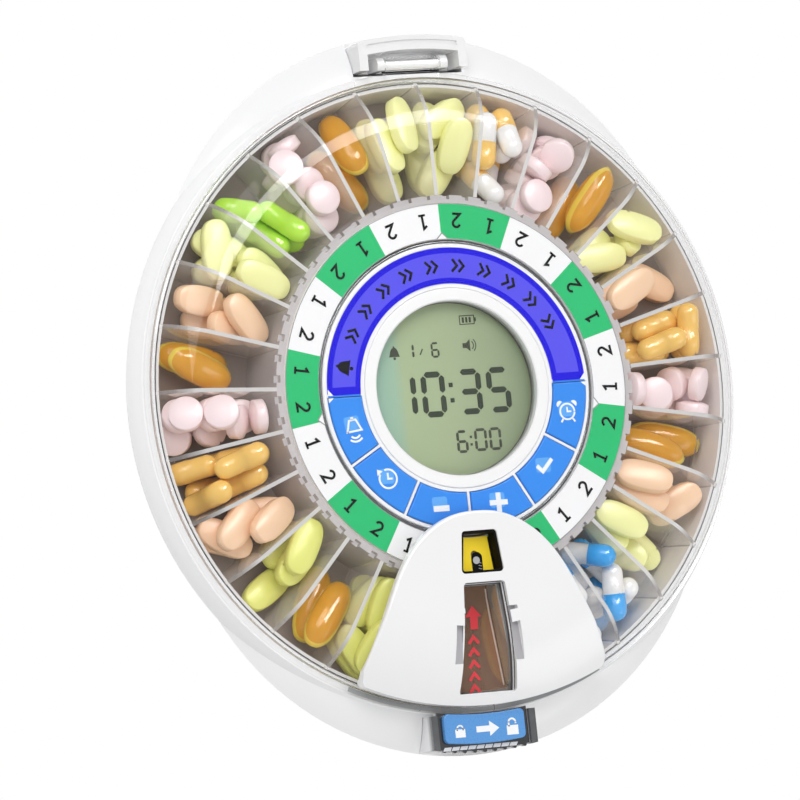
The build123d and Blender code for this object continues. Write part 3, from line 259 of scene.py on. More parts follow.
# light goes straight through the clear pieces, and through the sleeve, to what lies under them
for name in ("lid_panel", "tray_dividers", "tray_outer_wall", "start_plate", "display_window",
             "latch_housing", "tray_inner_wall", "marker_sleeve"):
    nodes[name].visible_shadow = False
    nodes[name].visible_diffuse = False


# ---------------------------------------------------------------- flat printed shapes
def polar(radius, degrees):
    return radius * math.cos(math.radians(degrees)), radius * math.sin(math.radians(degrees))


def rect(cx, cy, width, height, turn=0.0):
    c, s = math.cos(math.radians(turn)), math.sin(math.radians(turn))
    corners = [(-width / 2, -height / 2), (width / 2, -height / 2),
               (width / 2, height / 2), (-width / 2, height / 2)]
    return [(cx + x * c - y * s, cy + x * s + y * c) for x, y in corners]


def disc(cx, cy, radius, steps=24):
    return [(cx + polar(radius, 360.0 * i / steps)[0], cy + polar(radius, 360.0 * i / steps)[1])
            for i in range(steps)]


def ring(cx, cy, inner, outer, start=0.0, end=360.0, steps=32):
    """A piece of ring as a list of four-sided tiles."""
    tiles = []
    for i in range(steps):
        a = start + (end - start) * i / steps
        b = start + (end - start) * (i + 1) / steps
        quad = [polar(inner, a), polar(outer, a), polar(outer, b), polar(inner, b)]
        tiles.append([(cx + x, cy + y) for x, y in quad])
    return tiles


def stroke(points, width):
    """The outline of an open line drawn with a pen of this width, corners mitred."""
    left, right = [], []
    for i, (x, y) in enumerate(points):
        before, after = points[max(i - 1, 0)], points[min(i + 1, len(points) - 1)]
        into = Vector((x - before[0], y - before[1]))
        out_of = Vector((after[0] - x, after[1] - y))
        into = into.normalized() if into.length else out_of.normalized()
        out_of = out_of.normalized() if out_of.length else into
        along = (into + out_of).normalized()
        reach = width / 2 / max(0.35, along.dot(into))
        left.append((x - along.y * reach, y + along.x * reach))
        right.append((x + along.y * reach, y - along.x * reach))
    return left + right[::-1]


def arc_points(cx, cy, radius, start, end, steps):
    return [(cx + polar(radius, start + (end - start) * i / steps)[0],
             cy + polar(radius, start + (end - start) * i / steps)[1]) for i in range(steps + 1)]


def moved(shapes, dx, dy, turn=0.0, scale=1.0):
    c, s = math.cos(math.radians(turn)) * scale, math.sin(math.radians(turn)) * scale
    return [[(dx + x * c - y * s, dy + x * s + y * c) for x, y in shape] for shape in shapes]


def finish_piece(mesh_data, name, material, body):
    piece = bpy.data.objects.new(name, mesh_data)
    scene.collection.objects.link(piece)
    for one in material if isinstance(material, list) else [material]:
        mesh_data.materials.append(one)
    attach(piece, body)
    return piece


def printed(name, shapes, z, material, body, thick=0.06):
    """Shapes in the XY plane, mm, as thin printed or moulded plates that lie on z, a height or a function
    of x and y."""
    work = bmesh.new()
    for shape in shapes:
        levels = [z(x, y) if callable(z) else z for x, y in shape]
        low = [work.verts.new((x * MM, y * MM, (level - 0.01) * MM))
               for (x, y), level in zip(shape, levels)]
        high = [work.verts.new((x * MM, y * MM, (level + thick) * MM))
                for (x, y), level in zip(shape, levels)]
        work.faces.new(high)
        work.faces.new(low[::-1])
        for i in range(len(shape)):
            j = (i + 1) % len(shape)
            work.faces.new((low[i], low[j], high[j], high[i]))
    bmesh.ops.recalc_face_normals(work, faces=work.faces)
    data = bpy.data.meshes.new(name)
    work.to_mesh(data)
    work.free()
    return finish_piece(data, name, material, body)


def lathed(name, profile, material, body, steps=180):
    """A closed (radius, z) outline in mm turned about the middle axis."""
    work = bmesh.new()
    rows = []
    for k in range(steps):
        c, s = polar(MM, 360.0 * k / steps)
        rows.append([work.verts.new((r * c, r * s, z * MM)) for r, z in profile])
    for k in range(steps):
        here, there = rows[k], rows[(k + 1) % steps]
        for i in range(len(profile)):
            j = (i + 1) % len(profile)
            face = work.faces.new((here[i], there[i], there[j], here[j]))
            face.smooth = True
    bmesh.ops.recalc_face_normals(work, faces=work.faces)
    data = bpy.data.meshes.new(name)
    work.to_mesh(data)
    work.free()
    return finish_piece(data, name, material, body)


def band(inner, outer, low, high):
    return [(inner, low), (outer, low), (outer, high), (inner, high)]


# number ring: day fields of two compartments, every other one green, digits 1 and 2 in each
DAYS = 14
DIGIT_R = 51.2
DIGIT_SCALE = 0.89
PEN = 0.84  # width of a digit's stroke before it is scaled
first_edge = START_ANGLE + PITCH / 2
green_tiles = []
for day in range(0, DAYS, 2):
    edge = first_edge + 2 * PITCH * day
    green_tiles += ring(0, 0, RING_INNER_R + 0.02, RING_OUTER_R - 0.02, edge, edge + 2 * PITCH, 24)
printed("day_fields", green_tiles, RING_Z, ring_green, "tray", 0.04)
ONE = [stroke([(-1.15, 1.45), (0.1, 2.3), (0.1, -2.3)], PEN), rect(0.1, -2.3, 2.5, PEN * 0.9)]
TWO = [stroke(arc_points(0.0, 1.0, 1.3, 165, -28, 14) + [(-1.3, -2.25), (1.55, -2.25)], PEN)]
digit_shapes = []
for slot_number in range(1, SLOTS):
    angle = START_ANGLE + PITCH * slot_number
    digit_shapes += moved(ONE if slot_number % 2 else TWO, *polar(DIGIT_R, angle), angle + 90,
                          DIGIT_SCALE)
printed("ring_digits", digit_shapes, RING_Z + 0.04, print_black, "tray")
notches, notch_edges = [], []
for angle in (89.7, 188.5, 350.5):
    x, y = polar(RING_INNER_R + 0.1, angle)
    notches += moved([[(-1.7, 0.0), (1.7, 0.0), (0.0, 1.7)]], x, y, angle - 90)
    notch_edges += moved([stroke([(-1.8, 0.0), (0.0, 1.8), (1.8, 0.0)], 0.3)], x, y, angle - 90)
printed("ring_notches", notches, RING_Z + 0.04, ring_white, "tray")
printed("ring_notch_edges", notch_edges, RING_Z + 0.05, seam_grey, "tray")

# a dark metal-look ring in the groove between the ring and the hub, painted shade where the hub's side
# lies in shadow, and grey seams on both sides of the ring
collar = [(44.3, 45.05), (45.2, 45.05), (45.2, 48.6), (44.95, 49.2), (44.6, 49.4), (44.4, 49.3),
          (44.3, 48.8)]
lathed("groove_shade_ring", collar, groove_shade_metal, "base")
lathed("ring_seam", band(45.43, 45.6, RING_Z, RING_Z + 0.06), seam_grey, "tray")
lathed("ring_outer_seam", band(56.15, 56.36, RING_Z, RING_Z + 0.07), seam_grey, "tray")
# walls of the well that the display lies in, a grey of painted shade, and a dark ring of painted shadow
# at the display's edge
well_wall = [(26.5, 46.9), (26.67, 46.9), (26.67, 50.0), (26.55, 50.0)]
lathed("display_well", well_wall, well_shade_grey, "base")
lathed("display_edge_shadow", band(26.3, 26.67, 46.22, 46.88), painted_shade_dark, "base")

# label: deep blue border, and plain marks on the purple
PURPLE_INNER_R, PURPLE_OUTER_R = 33.6, 41.1
MARK_R = 37.3
border = (ring(0, 0, PURPLE_OUTER_R, LABEL_OUTER_R - 0.05, 3.4, 176.6, 72)
          + ring(0, 0, LABEL_INNER_R + 0.05, PURPLE_INNER_R, 4.35, 175.65, 60))
# its ends, where it meets the first and the last key
key_edges, tips, key_tips = [], [], {}
for side, key_body in ((-1, "button_bell"), (1, "button_alarm")):
    middle = side * (LABEL_INNER_R + LABEL_OUTER_R) / 2
    border.append(rect(middle, 1.25, 10.7, 2.4))
    key_edges.append(rect(middle, -0.18, 10.7, 0.42))
    inner_x = side * PURPLE_OUTER_R
    tips.append([(inner_x, 0.05), (side * 42.75, 0.05), (side * 42.72, 2.0)][::side])
    key_tips[key_body] = [[(inner_x, -0.7), (side * 42.78, -0.7), (side * 42.72, -2.1)][::side]]
printed("label_border", border, LABEL_TOP, deep_blue, "base", 0.04)
BELL = [[(-2.6, -1.6), (2.6, -1.6), (2.2, -0.8), (1.75, 0.9), (1.15, 2.0), (0.4, 2.4), (-0.4, 2.4),
         (-1.15, 2.0), (-1.75, 0.9), (-2.2, -0.8)], disc(0, -2.3, 0.62, 12), disc(0, 2.7, 0.42, 10)]
marks = moved(BELL, *polar(MARK_R, 167), 77, 0.95)
for i in range(10):
    angle = 151 - 13.6 * i
    mark_x, mark_y = polar(MARK_R, angle)
    for shift in (-1.3, 0.9):
        marks += moved([stroke([(shift - 0.8, 1.9), (shift + 0.8, 0.0), (shift - 0.8, -1.9)], 0.8)],
                       mark_x, mark_y, angle - 90)
printed("label_marks", marks, LABEL_TOP, print_black, "base")
printed("key_edges", key_edges, RING_Z, key_blue, "base", 0.2)
printed("fascia_tips", tips, LABEL_TOP, fascia_white, "base", 0.08)
for key_body, corner in key_tips.items():
    printed(key_body + "_corner", corner, KEY_TOP - 0.35, fascia_white, key_body, 0.38)


ICON_R = 36.9


def key_icon(name, shapes, angle, body, scale=1.0, turn=0.0):
    """A key's pictogram, on a lighter patch with round corners, a painted glare on the key."""
    x, y = polar(ICON_R, angle)
    printed(name, moved(shapes, x, y, turn, scale), KEY_TOP + 0.03, icon_white, body)
    # the lighter patch is a painted glare on the key's upper part
    glow = arc_points(-1.6, 1.5, 0.8, 90, 180, 5) + arc_points(-1.6, -1.4, 0.8, 180, 270, 5)
    glow += arc_points(1.8, -1.4, 0.8, 270, 360, 5) + arc_points(1.8, 1.5, 0.8, 0, 90, 5)
    printed(name + "_painted_glare", moved([glow], x - 0.5, y + 0.7, turn), KEY_TOP, key_painted_glare, body,
            0.03)


waves = [stroke(arc_points(0, -1.9, 1.7, 215, 325, 10), 0.6),
         stroke(arc_points(0, -1.9, 2.8, 225, 315, 10), 0.6)]
bell_side = [(-2.4, -1.5), (2.4, -1.5), (1.1, 1.9), (-1.1, 1.9), (-2.4, -1.5), (-2.0, -1.5)]
bell_outline = [stroke(bell_side, 0.6), rect(0, 2.4, 1.0, 0.8)]
key_icon("icon_bell", bell_outline + waves, 195, "button_bell", 1.0, 8)
clock = ([stroke(arc_points(0, 0, 2.85, 150, 470, 32), 0.6), stroke([(0, 1.8), (0, 0), (1.5, 0)], 0.6)]
         + [[(-3.4, 1.0), (-1.6, 2.4), (-3.4, 3.0)]])
key_icon("icon_clock", clock, 225, "button_clock")
key_icon("icon_minus", [rect(0, -0.6, 5.2, 1.8)], 255, "button_minus")
key_icon("icon_plus", [rect(0, 0, 6.0, 1.6), rect(0, 1.9, 1.6, 2.2), rect(0, -1.9, 1.6, 2.2)], 285,
         "button_plus")
key_icon("icon_confirm", [[(-3.0, 0.2), (-2.1, 1.1), (-0.8, -0.3), (2.2, 2.9), (3.1, 2.1), (-0.7, -2.0)]],
         315, "button_confirm")
alarm = ([stroke(arc_points(0, 0, 2.4, 0, 356, 32), 0.55), stroke([(0, 1.4), (0, 0), (1.3, 0)], 0.5)]
         + [arc_points(-2.3, 2.3, 1.1, 45, 225, 8), arc_points(2.3, 2.3, 1.1, -45, 135, 8)]
         + [rect(-1.9, -2.6, 0.6, 1.4, -35), rect(1.9, -2.6, 0.6, 1.4, 35)])
key_icon("icon_alarm", alarm, 345, "button_alarm")

# ---------------------------------------------------------------- display
SEGMENTS = {"0": "abcdef", "1": "bc", "3": "abcdg", "5": "acdfg", "6": "acdefg"}
ENDS = {"a": (0, 2, 1, 2), "b": (1, 2, 1, 1), "c": (1, 1, 1, 0), "d": (0, 0, 1, 0), "e": (0, 1, 0, 0),
        "f": (0, 2, 0, 1), "g": (0, 1, 1, 1)}


def segment_digit(digit, left, low, width, height, bar):
    """Seven-segment digit of pointed bars. left, low, width and height are those of the bars' middles."""
    shapes = []
    for segment in SEGMENTS[digit]:
        x1, y1, x2, y2 = ENDS[segment]
        start = Vector((left + width * x1, low + height * y1 / 2))
        end = Vector((left + width * x2, low + height * y2 / 2))
        along = (end - start).normalized()
        side = Vector((-along.y, along.x)) * bar / 2
        start, end = start + along * bar * 0.16, end - along * bar * 0.16
        taper = along * bar * 0.45
        shapes.append([tuple(p) for p in (start, start + taper - side, end - taper - side, end,
                                          end - taper + side, start + taper + side)])
    return shapes


time_marks = (segment_digit("1", -18.5, -7.05, 6.1, 11.9, 1.8)
              + segment_digit("0", -8.85, -7.2, 6.1, 12.1, 1.8)
              + [rect(0.1, 1.4, 1.35, 1.35), rect(0.2, -3.3, 1.35, 1.35)]
              + segment_digit("3", 3.25, -7.05, 6.1, 12.1, 1.8)
              + segment_digit("5", 12.95, -7.05, 6.0, 12.1, 1.8))
printed("lcd_time", time_marks, LCD_Z, lcd_ink, "base")
small_marks = (segment_digit("6", 0.6, -19.1, 2.9, 6.1, 0.86)
               + [rect(5.0, -14.8, 0.75, 0.75), rect(5.0, -17.1, 0.75, 0.75)]
               + segment_digit("0", 6.6, -18.9, 3.3, 6.1, 0.86)
               + segment_digit("0", 11.5, -18.9, 3.2, 6.1, 0.86)
               + segment_digit("1", -13.2, 10.4, 2.0, 4.1, 0.7)
               + segment_digit("6", -4.9, 10.3, 2.1, 4.1, 0.62)
               + [rect(-8.5, 12.0, 2.0, 0.4, 62)]
               + moved(BELL, -17.5, 12.1, 0, 0.7))
battery = ([rect(6.6, 21.9, 5.0, 0.3), rect(6.6, 19.3, 5.0, 0.3), rect(4.2, 20.6, 0.3, 2.8),
            rect(9.0, 20.6, 0.3, 2.8), rect(9.4, 20.6, 0.5, 1.2)]
           + [rect(5.3 + 1.15 * i, 20.6, 0.7, 1.7) for i in range(3)])
speaker = ([rect(4.9, 12.8, 1.1, 1.5), [(5.4, 12.2), (6.8, 10.9), (6.8, 14.7), (5.4, 13.4)]]
           + ring(6.4, 12.8, 1.4, 1.7, -48, 48, 8) + ring(6.4, 12.8, 2.2, 2.5, -48, 48, 8))
printed("lcd_small", small_marks + moved(battery + speaker, 1.1, 0.3), LCD_Z, lcd_grey, "base")

# ---------------------------------------------------------------- latch plate and start marks
body_of_lock = [rect(0, -0.9, 3.3, 2.5)]
shackle = ring(0, 0.5, 0.75, 1.2, 0, 180, 12) + [rect(-0.97, 0.4, 0.45, 0.8), rect(0.97, 0.4, 0.45, 0.8)]
lock = moved(body_of_lock + shackle, -8.4, -103.2)
pull = [[(-3.0, -102.4), (1.4, -102.4), (1.4, -101.0), (4.6, -103.3), (1.4, -105.6), (1.4, -104.2),
         (-3.0, -104.2)]]
open_shackle = (ring(0, 1.1, 0.75, 1.25, 0, 180, 12)
                + [rect(-1.0, 0.7, 0.5, 1.3), rect(1.0, 1.0, 0.5, 0.5)])
open_lock = moved(body_of_lock + open_shackle, 9.0, -103.3, 0, 1.15)
printed("latch_marks", lock + pull + open_lock, LATCH_PLATE_TOP, icon_white, "latch")
# white slanted strokes on the slider's front edge: painted glints where its ribs catch the light
painted_glints = [[(x - 0.9, -109.05), (x + 1.5, -109.05), (x + 2.1, -107.95), (x - 0.3, -107.95)]
          for x in (-13.0 + 2.75 * i for i in range(9))]
printed("latch_painted_glints", painted_glints, SLIDER_TOP, painted_glint_white, "latch", 0.05)
arrow = [[(0.5, -65.8), (3.3, -69.2), (2.0, -69.2), (1.8, -73.0), (-0.7, -73.0), (-0.5, -69.2),
          (-2.2, -69.2)]]
chevrons = [stroke([(-1.75 - 0.3 * i, -77.3 - 3.7 * i), (-0.1 - 0.3 * i, -75.2 - 3.7 * i),
                    (1.55 - 0.3 * i, -77.3 - 3.7 * i)], 0.95) for i in range(5)]
printed("start_marks", arrow + chevrons, START_PLATE_TOP, red, "tray")
# a pale line on the start plate: a painted highlight where a divider's bright top shows through
glint = [(5.5, -61.0), (5.6, -64.4), (6.1, -70.0), (7.0, -78.0), (7.9, -86.0), (8.4, -90.5)]
printed("start_glint", [stroke(glint, 0.5)], START_PLATE_TOP, glint_clear, "tray")
screw_low, screw_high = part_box("start_screw")
screw_x, screw_y = [(screw_low[i] + screw_high[i]) / 2 / MM for i in (0, 1)]
# a black slot round the screw and black strips at both sides of the yellow sector: painted shade where
# the slot and the sleeve's inner walls lie in shadow
well = (arc_points(screw_x + 0.7, -51.8, 1.75, 0, 180, 12)
        + arc_points(screw_x + 0.7, -55.3, 1.75, 180, 360, 12))
edges = [stroke([polar(46.0, START_ANGLE + side * 7.3), polar(56.2, START_ANGLE + side * 7.1)], 2.1)
         for side in (-1, 1)]
printed("start_slot_shade", [well] + edges, RING_Z, sleeve_black, "tray", 0.08)
head = ring(screw_x + 0.4, screw_y, 0.0, 1.15, 0, 360, 24)
printed("screw_head", head, RING_Z + 0.07, chrome, "tray", 0.2)
cross = [rect(screw_x + 0.4, screw_y, 1.5, 0.32, 20), rect(screw_x + 0.4, screw_y, 0.32, 1.5, 20)]
cross += [rect(screw_x + 1.5, screw_y - 0.8 - 0.9 * i, 1.1, 0.25, -15) for i in range(3)]
printed("screw_cross", cross, RING_Z + 0.22, seam_grey, "tray", 0.03)


# fine steps round the inside of the dispensing window, white ones and dark and grey ones of painted
# shade, and the floors of the pockets beside it, a grey of painted shade
FRAME_STEPS = 12  # tiles to a side, so that the steps follow the cover's bow


def window_half(y):
    """Half the dispensing window's width at y."""
    share = (WINDOW_TOP_Y - y) / (WINDOW_TOP_Y - WINDOW_END_Y)
    return WINDOW_TOP_HALF + share * (WINDOW_END_HALF - WINDOW_TOP_HALF)


def cover_top(x, y):
    """Height of the white cover's top: flat over the hub, then an arc down to the lid's skirt."""
    radius = math.hypot(x, y)
    if radius <= COVER_FLAT_R:
        return WEDGE_TOP_Z
    (ax, az), (bx, bz), (cx, cz) = COVER_ARC
    turn = 2 * (ax * (bz - cz) + bx * (cz - az) + cx * (az - bz))
    a2, b2, c2 = ax * ax + az * az, bx * bx + bz * bz, cx * cx + cz * cz
    mid_x = (a2 * (bz - cz) + b2 * (cz - az) + c2 * (az - bz)) / turn
    mid_z = (a2 * (cx - bx) + b2 * (ax - cx) + c2 * (bx - ax)) / turn
    return mid_z + math.sqrt((ax - mid_x) ** 2 + (az - mid_z) ** 2 - (radius - mid_x) ** 2)


def window_frame(outset, inset, sides):
    """Tiles between two outlines that follow the dispensing window. Side 0 is the top, clockwise."""
    outlines = []
    for step in (outset, inset):
        top, low = WINDOW_TOP_Y - step, WINDOW_END_Y + step
        outlines.append([(step - WINDOW_TOP_HALF, top), (WINDOW_TOP_HALF - step, top),
                         (WINDOW_END_HALF - step, low), (step - WINDOW_END_HALF, low)])
    tiles = []
    for side in sides:
        runs = [(Vector(outline[side]), Vector(outline[(side + 1) % 4])) for outline in outlines]
        rows = [[tuple(start.lerp(end, k / FRAME_STEPS)) for k in range(FRAME_STEPS + 1)]
                for start, end in runs]
        tiles += [[rows[0][k], rows[0][k + 1], rows[1][k + 1], rows[1][k]] for k in range(FRAME_STEPS)]
    return tiles


# each step's depth below the cover's top, how far it stands in, its material and its sides
# the dark and grey steps are painted shade on the window's inner walls
WINDOW_STEPS = ((3.9, 0.9, seam_grey, (0, 1)), (3.2, 0.65, painted_shade_dark, (0, 1)),
                (2.3, 0.45, icon_white, (0, 1)), (1.6, 0.3, painted_shade_dark, (0, 1)),
                (1.5, 0.45, icon_white, (2, 3)), (2.3, 0.6, painted_shade_dark, (2, 3)))
for level, (depth, inset, material, sides) in enumerate(WINDOW_STEPS):
    printed(f"window_step_{level}", window_frame(0.02, inset, sides),
            lambda x, y: cover_top(x, y) - depth, material, "lid", 0.22)
pockets = []
for side in (-1, 1):
    pocket = [(side * (window_half(POCKET_TOP_Y) + 0.05), POCKET_TOP_Y),
              (side * POCKET_TOP_HALF, POCKET_TOP_Y), (side * POCKET_END_HALF, POCKET_END_Y),
              (side * (window_half(POCKET_END_Y) + 0.05), POCKET_END_Y)]
    pockets.append(pocket[::side])
# closes the groove that the left pocket has at its far end
printed("pocket_cap", [rect(-8.85, -67.85, 3.2, 1.6)], WEDGE_TOP_Z - 0.3, white, "lid",
        0.29)
# grey pocket floors: painted shade in the recesses
printed("pocket_floors", pockets, POCKET_FLOOR_Z, pocket_shade_grey, "lid", 0.04)
# a grey band on the lid's flange under the cover: painted shadow
printed("skirt_shadow_band", ring(0, 0, 96.4, 97.8, START_ANGLE - 25.5, START_ANGLE + 25.5, 40),
        LID_FLANGE_TOP, skirt_shadow_grey, "lid", 0.1)
# a thin dark ring at the tray's rim under the lid's edge: painted shade
lathed("tray_rim_shade", band(94.1, 94.42, 40.62, 40.74), rim_shade_dark, "tray")

# ---------------------------------------------------------------- pills, which fill the tray for show
PILL_SEED = 7
PILL_GAP = 0.3  # least space under the lid, mm
SOFTGEL = (11.2, 4.7)  # half length and half width, mm
SOFTGEL_RIM = 0.75  # half height of the band round its seam that is painted a lighter yellow, a painted highlight, mm
CAPSULE = (18.0, 3.35)  # length and radius, mm
ROUND_TABLET = (5.2, 5.2, 3.0, 1.1, 2.0)  # half length, half width, edge and dome in mm, and power
OVAL_TABLET = (8.9, 4.5, 3.2, 1.4, 2.6)
pill_colours = {
    "amber": surface("pill_amber", srgb(255, 178, 48), 0.08, vary=0.2, patch=120.0, clear=0.3, ior=1.35,
                     coat=0.7),
    # the softgels' lighter rim round the seam: a painted highlight
    "amber_rim_highlight": surface("pill_amber_rim", srgb(255, 222, 84), 0.12, vary=0.08, clear=0.2, coat=0.5),
    "cream": surface("pill_cream", srgb(252, 252, 176), 0.35, vary=0.05, grain=3500.0, bump=0.12),
    "lemon": surface("pill_lemon", srgb(238, 240, 132), 0.35, vary=0.06, grain=3500.0, bump=0.12),
    "peach": surface("pill_peach", srgb(255, 212, 176), 0.35, vary=0.05, grain=3500.0, bump=0.12),
    "pink": surface("pill_pink", srgb(252, 230, 232), 0.35, vary=0.04, grain=3500.0, bump=0.12),
    "orange": surface("pill_orange", srgb(255, 204, 108), 0.2, vary=0.06, coat=0.5),
    "white": surface("pill_white", srgb(250, 248, 246), 0.2, vary=0.03, coat=0.5),
    "blue": surface("pill_blue", srgb(52, 170, 246), 0.18, vary=0.05, coat=0.6),
    "lime": surface("pill_lime", srgb(186, 238, 70), 0.2, vary=0.08, coat=0.5),
}


def turned_shape(profile, sides):
    """A solid of revolution about X from (x, radius) points, as vertices and faces, in mm."""
    verts, faces = [], []
    for x, radius in profile:
        for k in range(sides):
            a = 2 * math.pi * k / sides
            verts.append((x, radius * math.cos(a), radius * math.sin(a)))
    for i in range(len(profile) - 1):
        for k in range(sides):
            n = (k + 1) % sides
            faces.append((i * sides + k, i * sides + n, (i + 1) * sides + n, (i + 1) * sides + k))
    faces.append(tuple(range(sides))[::-1])
    faces.append(tuple((len(profile) - 1) * sides + k for k in range(sides)))
    return verts, faces


def capsule_shape(length, radius):
    """Two-piece capsule: a cap that slides over the body, so one half is a little wider."""
    profile = []
    cap_r = radius * 1.05
    for i in range(7):
        a = math.radians(90.0 * i / 6)
        profile.append((-length / 2 + radius - radius * math.cos(a), max(0.05, radius * math.sin(a))))
    seam = length * 0.03
    profile.append((seam, radius))
    profile.append((seam + 0.02, cap_r))
    for i in range(6, -1, -1):
        a = math.radians(90.0 * i / 6)
        profile.append((length / 2 - cap_r + cap_r * math.cos(a), max(0.05, cap_r * math.sin(a))))
    return (*turned_shape(profile, 20), seam)


def tablet_shape(half_length, half_width, edge, dome, power, steps=32):
    """Pressed tablet: an outline with a straight edge and two domed faces. A power of 2 is an ellipse,
    and more than that is squarer."""
    outline = []
    for k in range(steps):
        a = 2 * math.pi * k / steps
        c, s = math.cos(a), math.sin(a)
        outline.append((half_length * math.copysign(abs(c) ** (2 / power), c),
                        half_width * math.copysign(abs(s) ** (2 / power), s)))
    levels = [(0.05, 1.0), (0.35, 0.9), (0.62, 0.7), (0.82, 0.42), (0.93, 0.18), (0.985, 0.03)]
    rows = [(share, edge / 2 + dome * rise) for share, rise in levels] + [(1.0, edge / 2 - 0.05)]
    rows += [(1.0, -edge / 2 + 0.05)] + [(share, -z) for share, z in rows[-2::-1]]
    verts = [(x * share, y * share, z) for share, z in rows for x, y in outline]
    faces = []
    for i in range(len(rows) - 1):
        for k in range(steps):
            n = (k + 1) % steps
            faces.append((i * steps + k, (i + 1) * steps + k, (i + 1) * steps + n, i * steps + n))
    faces.append(tuple(range(steps)))
    faces.append(tuple((len(rows) - 1) * steps + k for k in range(steps))[::-1])
    return verts, faces


def softgel_shape(half_length, half_width):
    """Oval softgel with the raised seam that runs round it."""
    sides, rings = 28, 14
    verts, faces = [], []
    for i in range(rings + 1):
        tilt = -90.0 + 180.0 * i / rings
        c, s = math.cos(math.radians(tilt)), math.sin(math.radians(tilt))
        bulge = 1.06 if i == rings // 2 else 1.0
        for k in range(sides):
            a = 2 * math.pi * k / sides
            ca, sa = math.cos(a), math.sin(a)
            reach = max(c, 0.02) ** 0.85 * bulge
            verts.append((half_length * reach * math.copysign(abs(ca) ** 0.72, ca),
                          half_width * reach * math.copysign(abs(sa) ** 0.85, sa),
                          half_width * 0.98 * s))
    for i in range(rings):
        for k in range(sides):
            n = (k + 1) % sides
            faces.append((i * sides + k, i * sides + n, (i + 1) * sides + n, (i + 1) * sides + k))
    faces.append(tuple(range(sides))[::-1])
    faces.append(tuple(rings * sides + k for k in range(sides)))
    return verts, faces


def face_middles(verts, faces):
    return [sum((Vector(verts[i]) for i in face), Vector()) / len(face) for face in faces]


def pill_mesh(kind):
    """The mesh in mm of one kind of pill, with its two materials."""
    shape, first, second = PILL_KINDS[kind]
    if shape == "softgel":
        verts, faces = softgel_shape(*SOFTGEL)
        second_part = [abs(p.z) < SOFTGEL_RIM for p in face_middles(verts, faces)]
    elif shape == "capsule":
        verts, faces, seam = capsule_shape(*CAPSULE)
        second_part = [p.x > seam for p in face_middles(verts, faces)]
    elif shape == "round":
        verts, faces = tablet_shape(*ROUND_TABLET)
        second_part = [False] * len(faces)
    else:
        verts, faces = tablet_shape(*OVAL_TABLET)
        second_part = [False] * len(faces)
    data = bpy.data.meshes.new("pill")
    data.from_pydata(verts, [], faces)
    data.materials.append(pill_colours[first])
    data.materials.append(pill_colours[second])
    data.update()
    for polygon, is_second in zip(data.polygons, second_part):
        polygon.use_smooth = True
        polygon.material_index = int(is_second)
    work = bmesh.new()
    work.from_mesh(data)
    bmesh.ops.recalc_face_normals(work, faces=work.faces)
    work.to_mesh(data)
    work.free()
    return data


PILL_KINDS = {
    "amber": ("softgel", "amber", "amber_rim_highlight"),
    "cream": ("oval", "cream", "cream"),
    "lemon": ("oval", "lemon", "lemon"),
    "peach": ("oval", "peach", "peach"),
    "pink": ("round", "pink", "pink"),
    "orange": ("capsule", "orange", "orange"),
    "orange_white": ("capsule", "white", "orange"),
    "blue_white": ("capsule", "white", "blue"),
    "lime": ("capsule", "lime", "lime"),
}
FILL = {"amber": 5, "cream": 8, "lemon": 8, "peach": 8, "pink": 11, "orange": 7, "orange_white": 7,
        "blue_white": 7, "lime": 7}
CONTENTS = ["amber", "blue_white", "blue_white", "cream", "peach", "amber", "pink", "orange", "peach",
            "cream", "amber", "pink", "orange_white", "cream", "cream", "amber", "pink", "lime", "cream",
            "peach", "amber", "pink", "orange", "peach", "lemon", "amber", "lemon", "amber"]

kind_meshes = {kind: pill_mesh(kind) for kind in PILL_KINDS}
dice = random.Random(PILL_SEED)
SIM = 0.1  # metres of simulation to one mm, because the solver works on things the size of a crate
FALL_FRAMES = 120
LANE = 60.0  # mm between two compartments while they settle side by side
INNER_WALL, OUTER_WALL = 59.5, 91.0  # a compartment's ends, in mm from the tray's middle
HALF_DIVIDER = 0.75
RIM_HEIGHT = 17.0  # of the outer wall above the tray's floor
SHAFT_HEIGHT = 140.0  # of all other walls, so that nothing falls over them
SHAFT_HALF = 25.0  # half the width of the floor and of the end walls
half_pitch = math.radians(PITCH / 2)


def drop_list():
    """Every pill with its compartment and where it starts to fall, in compartment mm."""
    drops = []
    for number, kind in enumerate(CONTENTS, start=1):
        for layer in range(FILL[kind]):
            u = 73.0 + dice.uniform(-3, 3)
            if kind == "pink":
                u = 67.0 + 11.0 * (layer % 2) + dice.uniform(-1, 1)
            turn = dice.uniform(-16, 16) + (180 if dice.random() < 0.5 else 0)
            drops.append((number, kind, Vector((u, dice.uniform(-1.0, 1.0), 6.0 + 9.0 * layer)),
                          Euler((math.radians(dice.uniform(-16, 16)), math.radians(dice.uniform(-18, 18)),
                                 math.radians(turn)))))
    return drops


def under_lid_block():
    """Stands in the simulation for all that is outside the lid's rounded edge, as one convex prism."""
    section = [(83.0, 25.0), (OUTER_WALL, 16.5), (106.0, 16.5), (106.0, SHAFT_HEIGHT),
               (83.0, SHAFT_HEIGHT)]
    verts = [(u * SIM, side * SIM, z * SIM) for side in (-SHAFT_HALF, SHAFT_HALF) for u, z in section]
    data = bpy.data.meshes.new("sim_lid")
    data.from_pydata(verts, [], [tuple(range(5)), tuple(range(9, 4, -1))]
                     + [(i, i + 5, (i + 1) % 5 + 5, (i + 1) % 5) for i in range(5)])
    block = bpy.data.objects.new("sim_lid", data)
    scene.collection.objects.link(block)
    return block


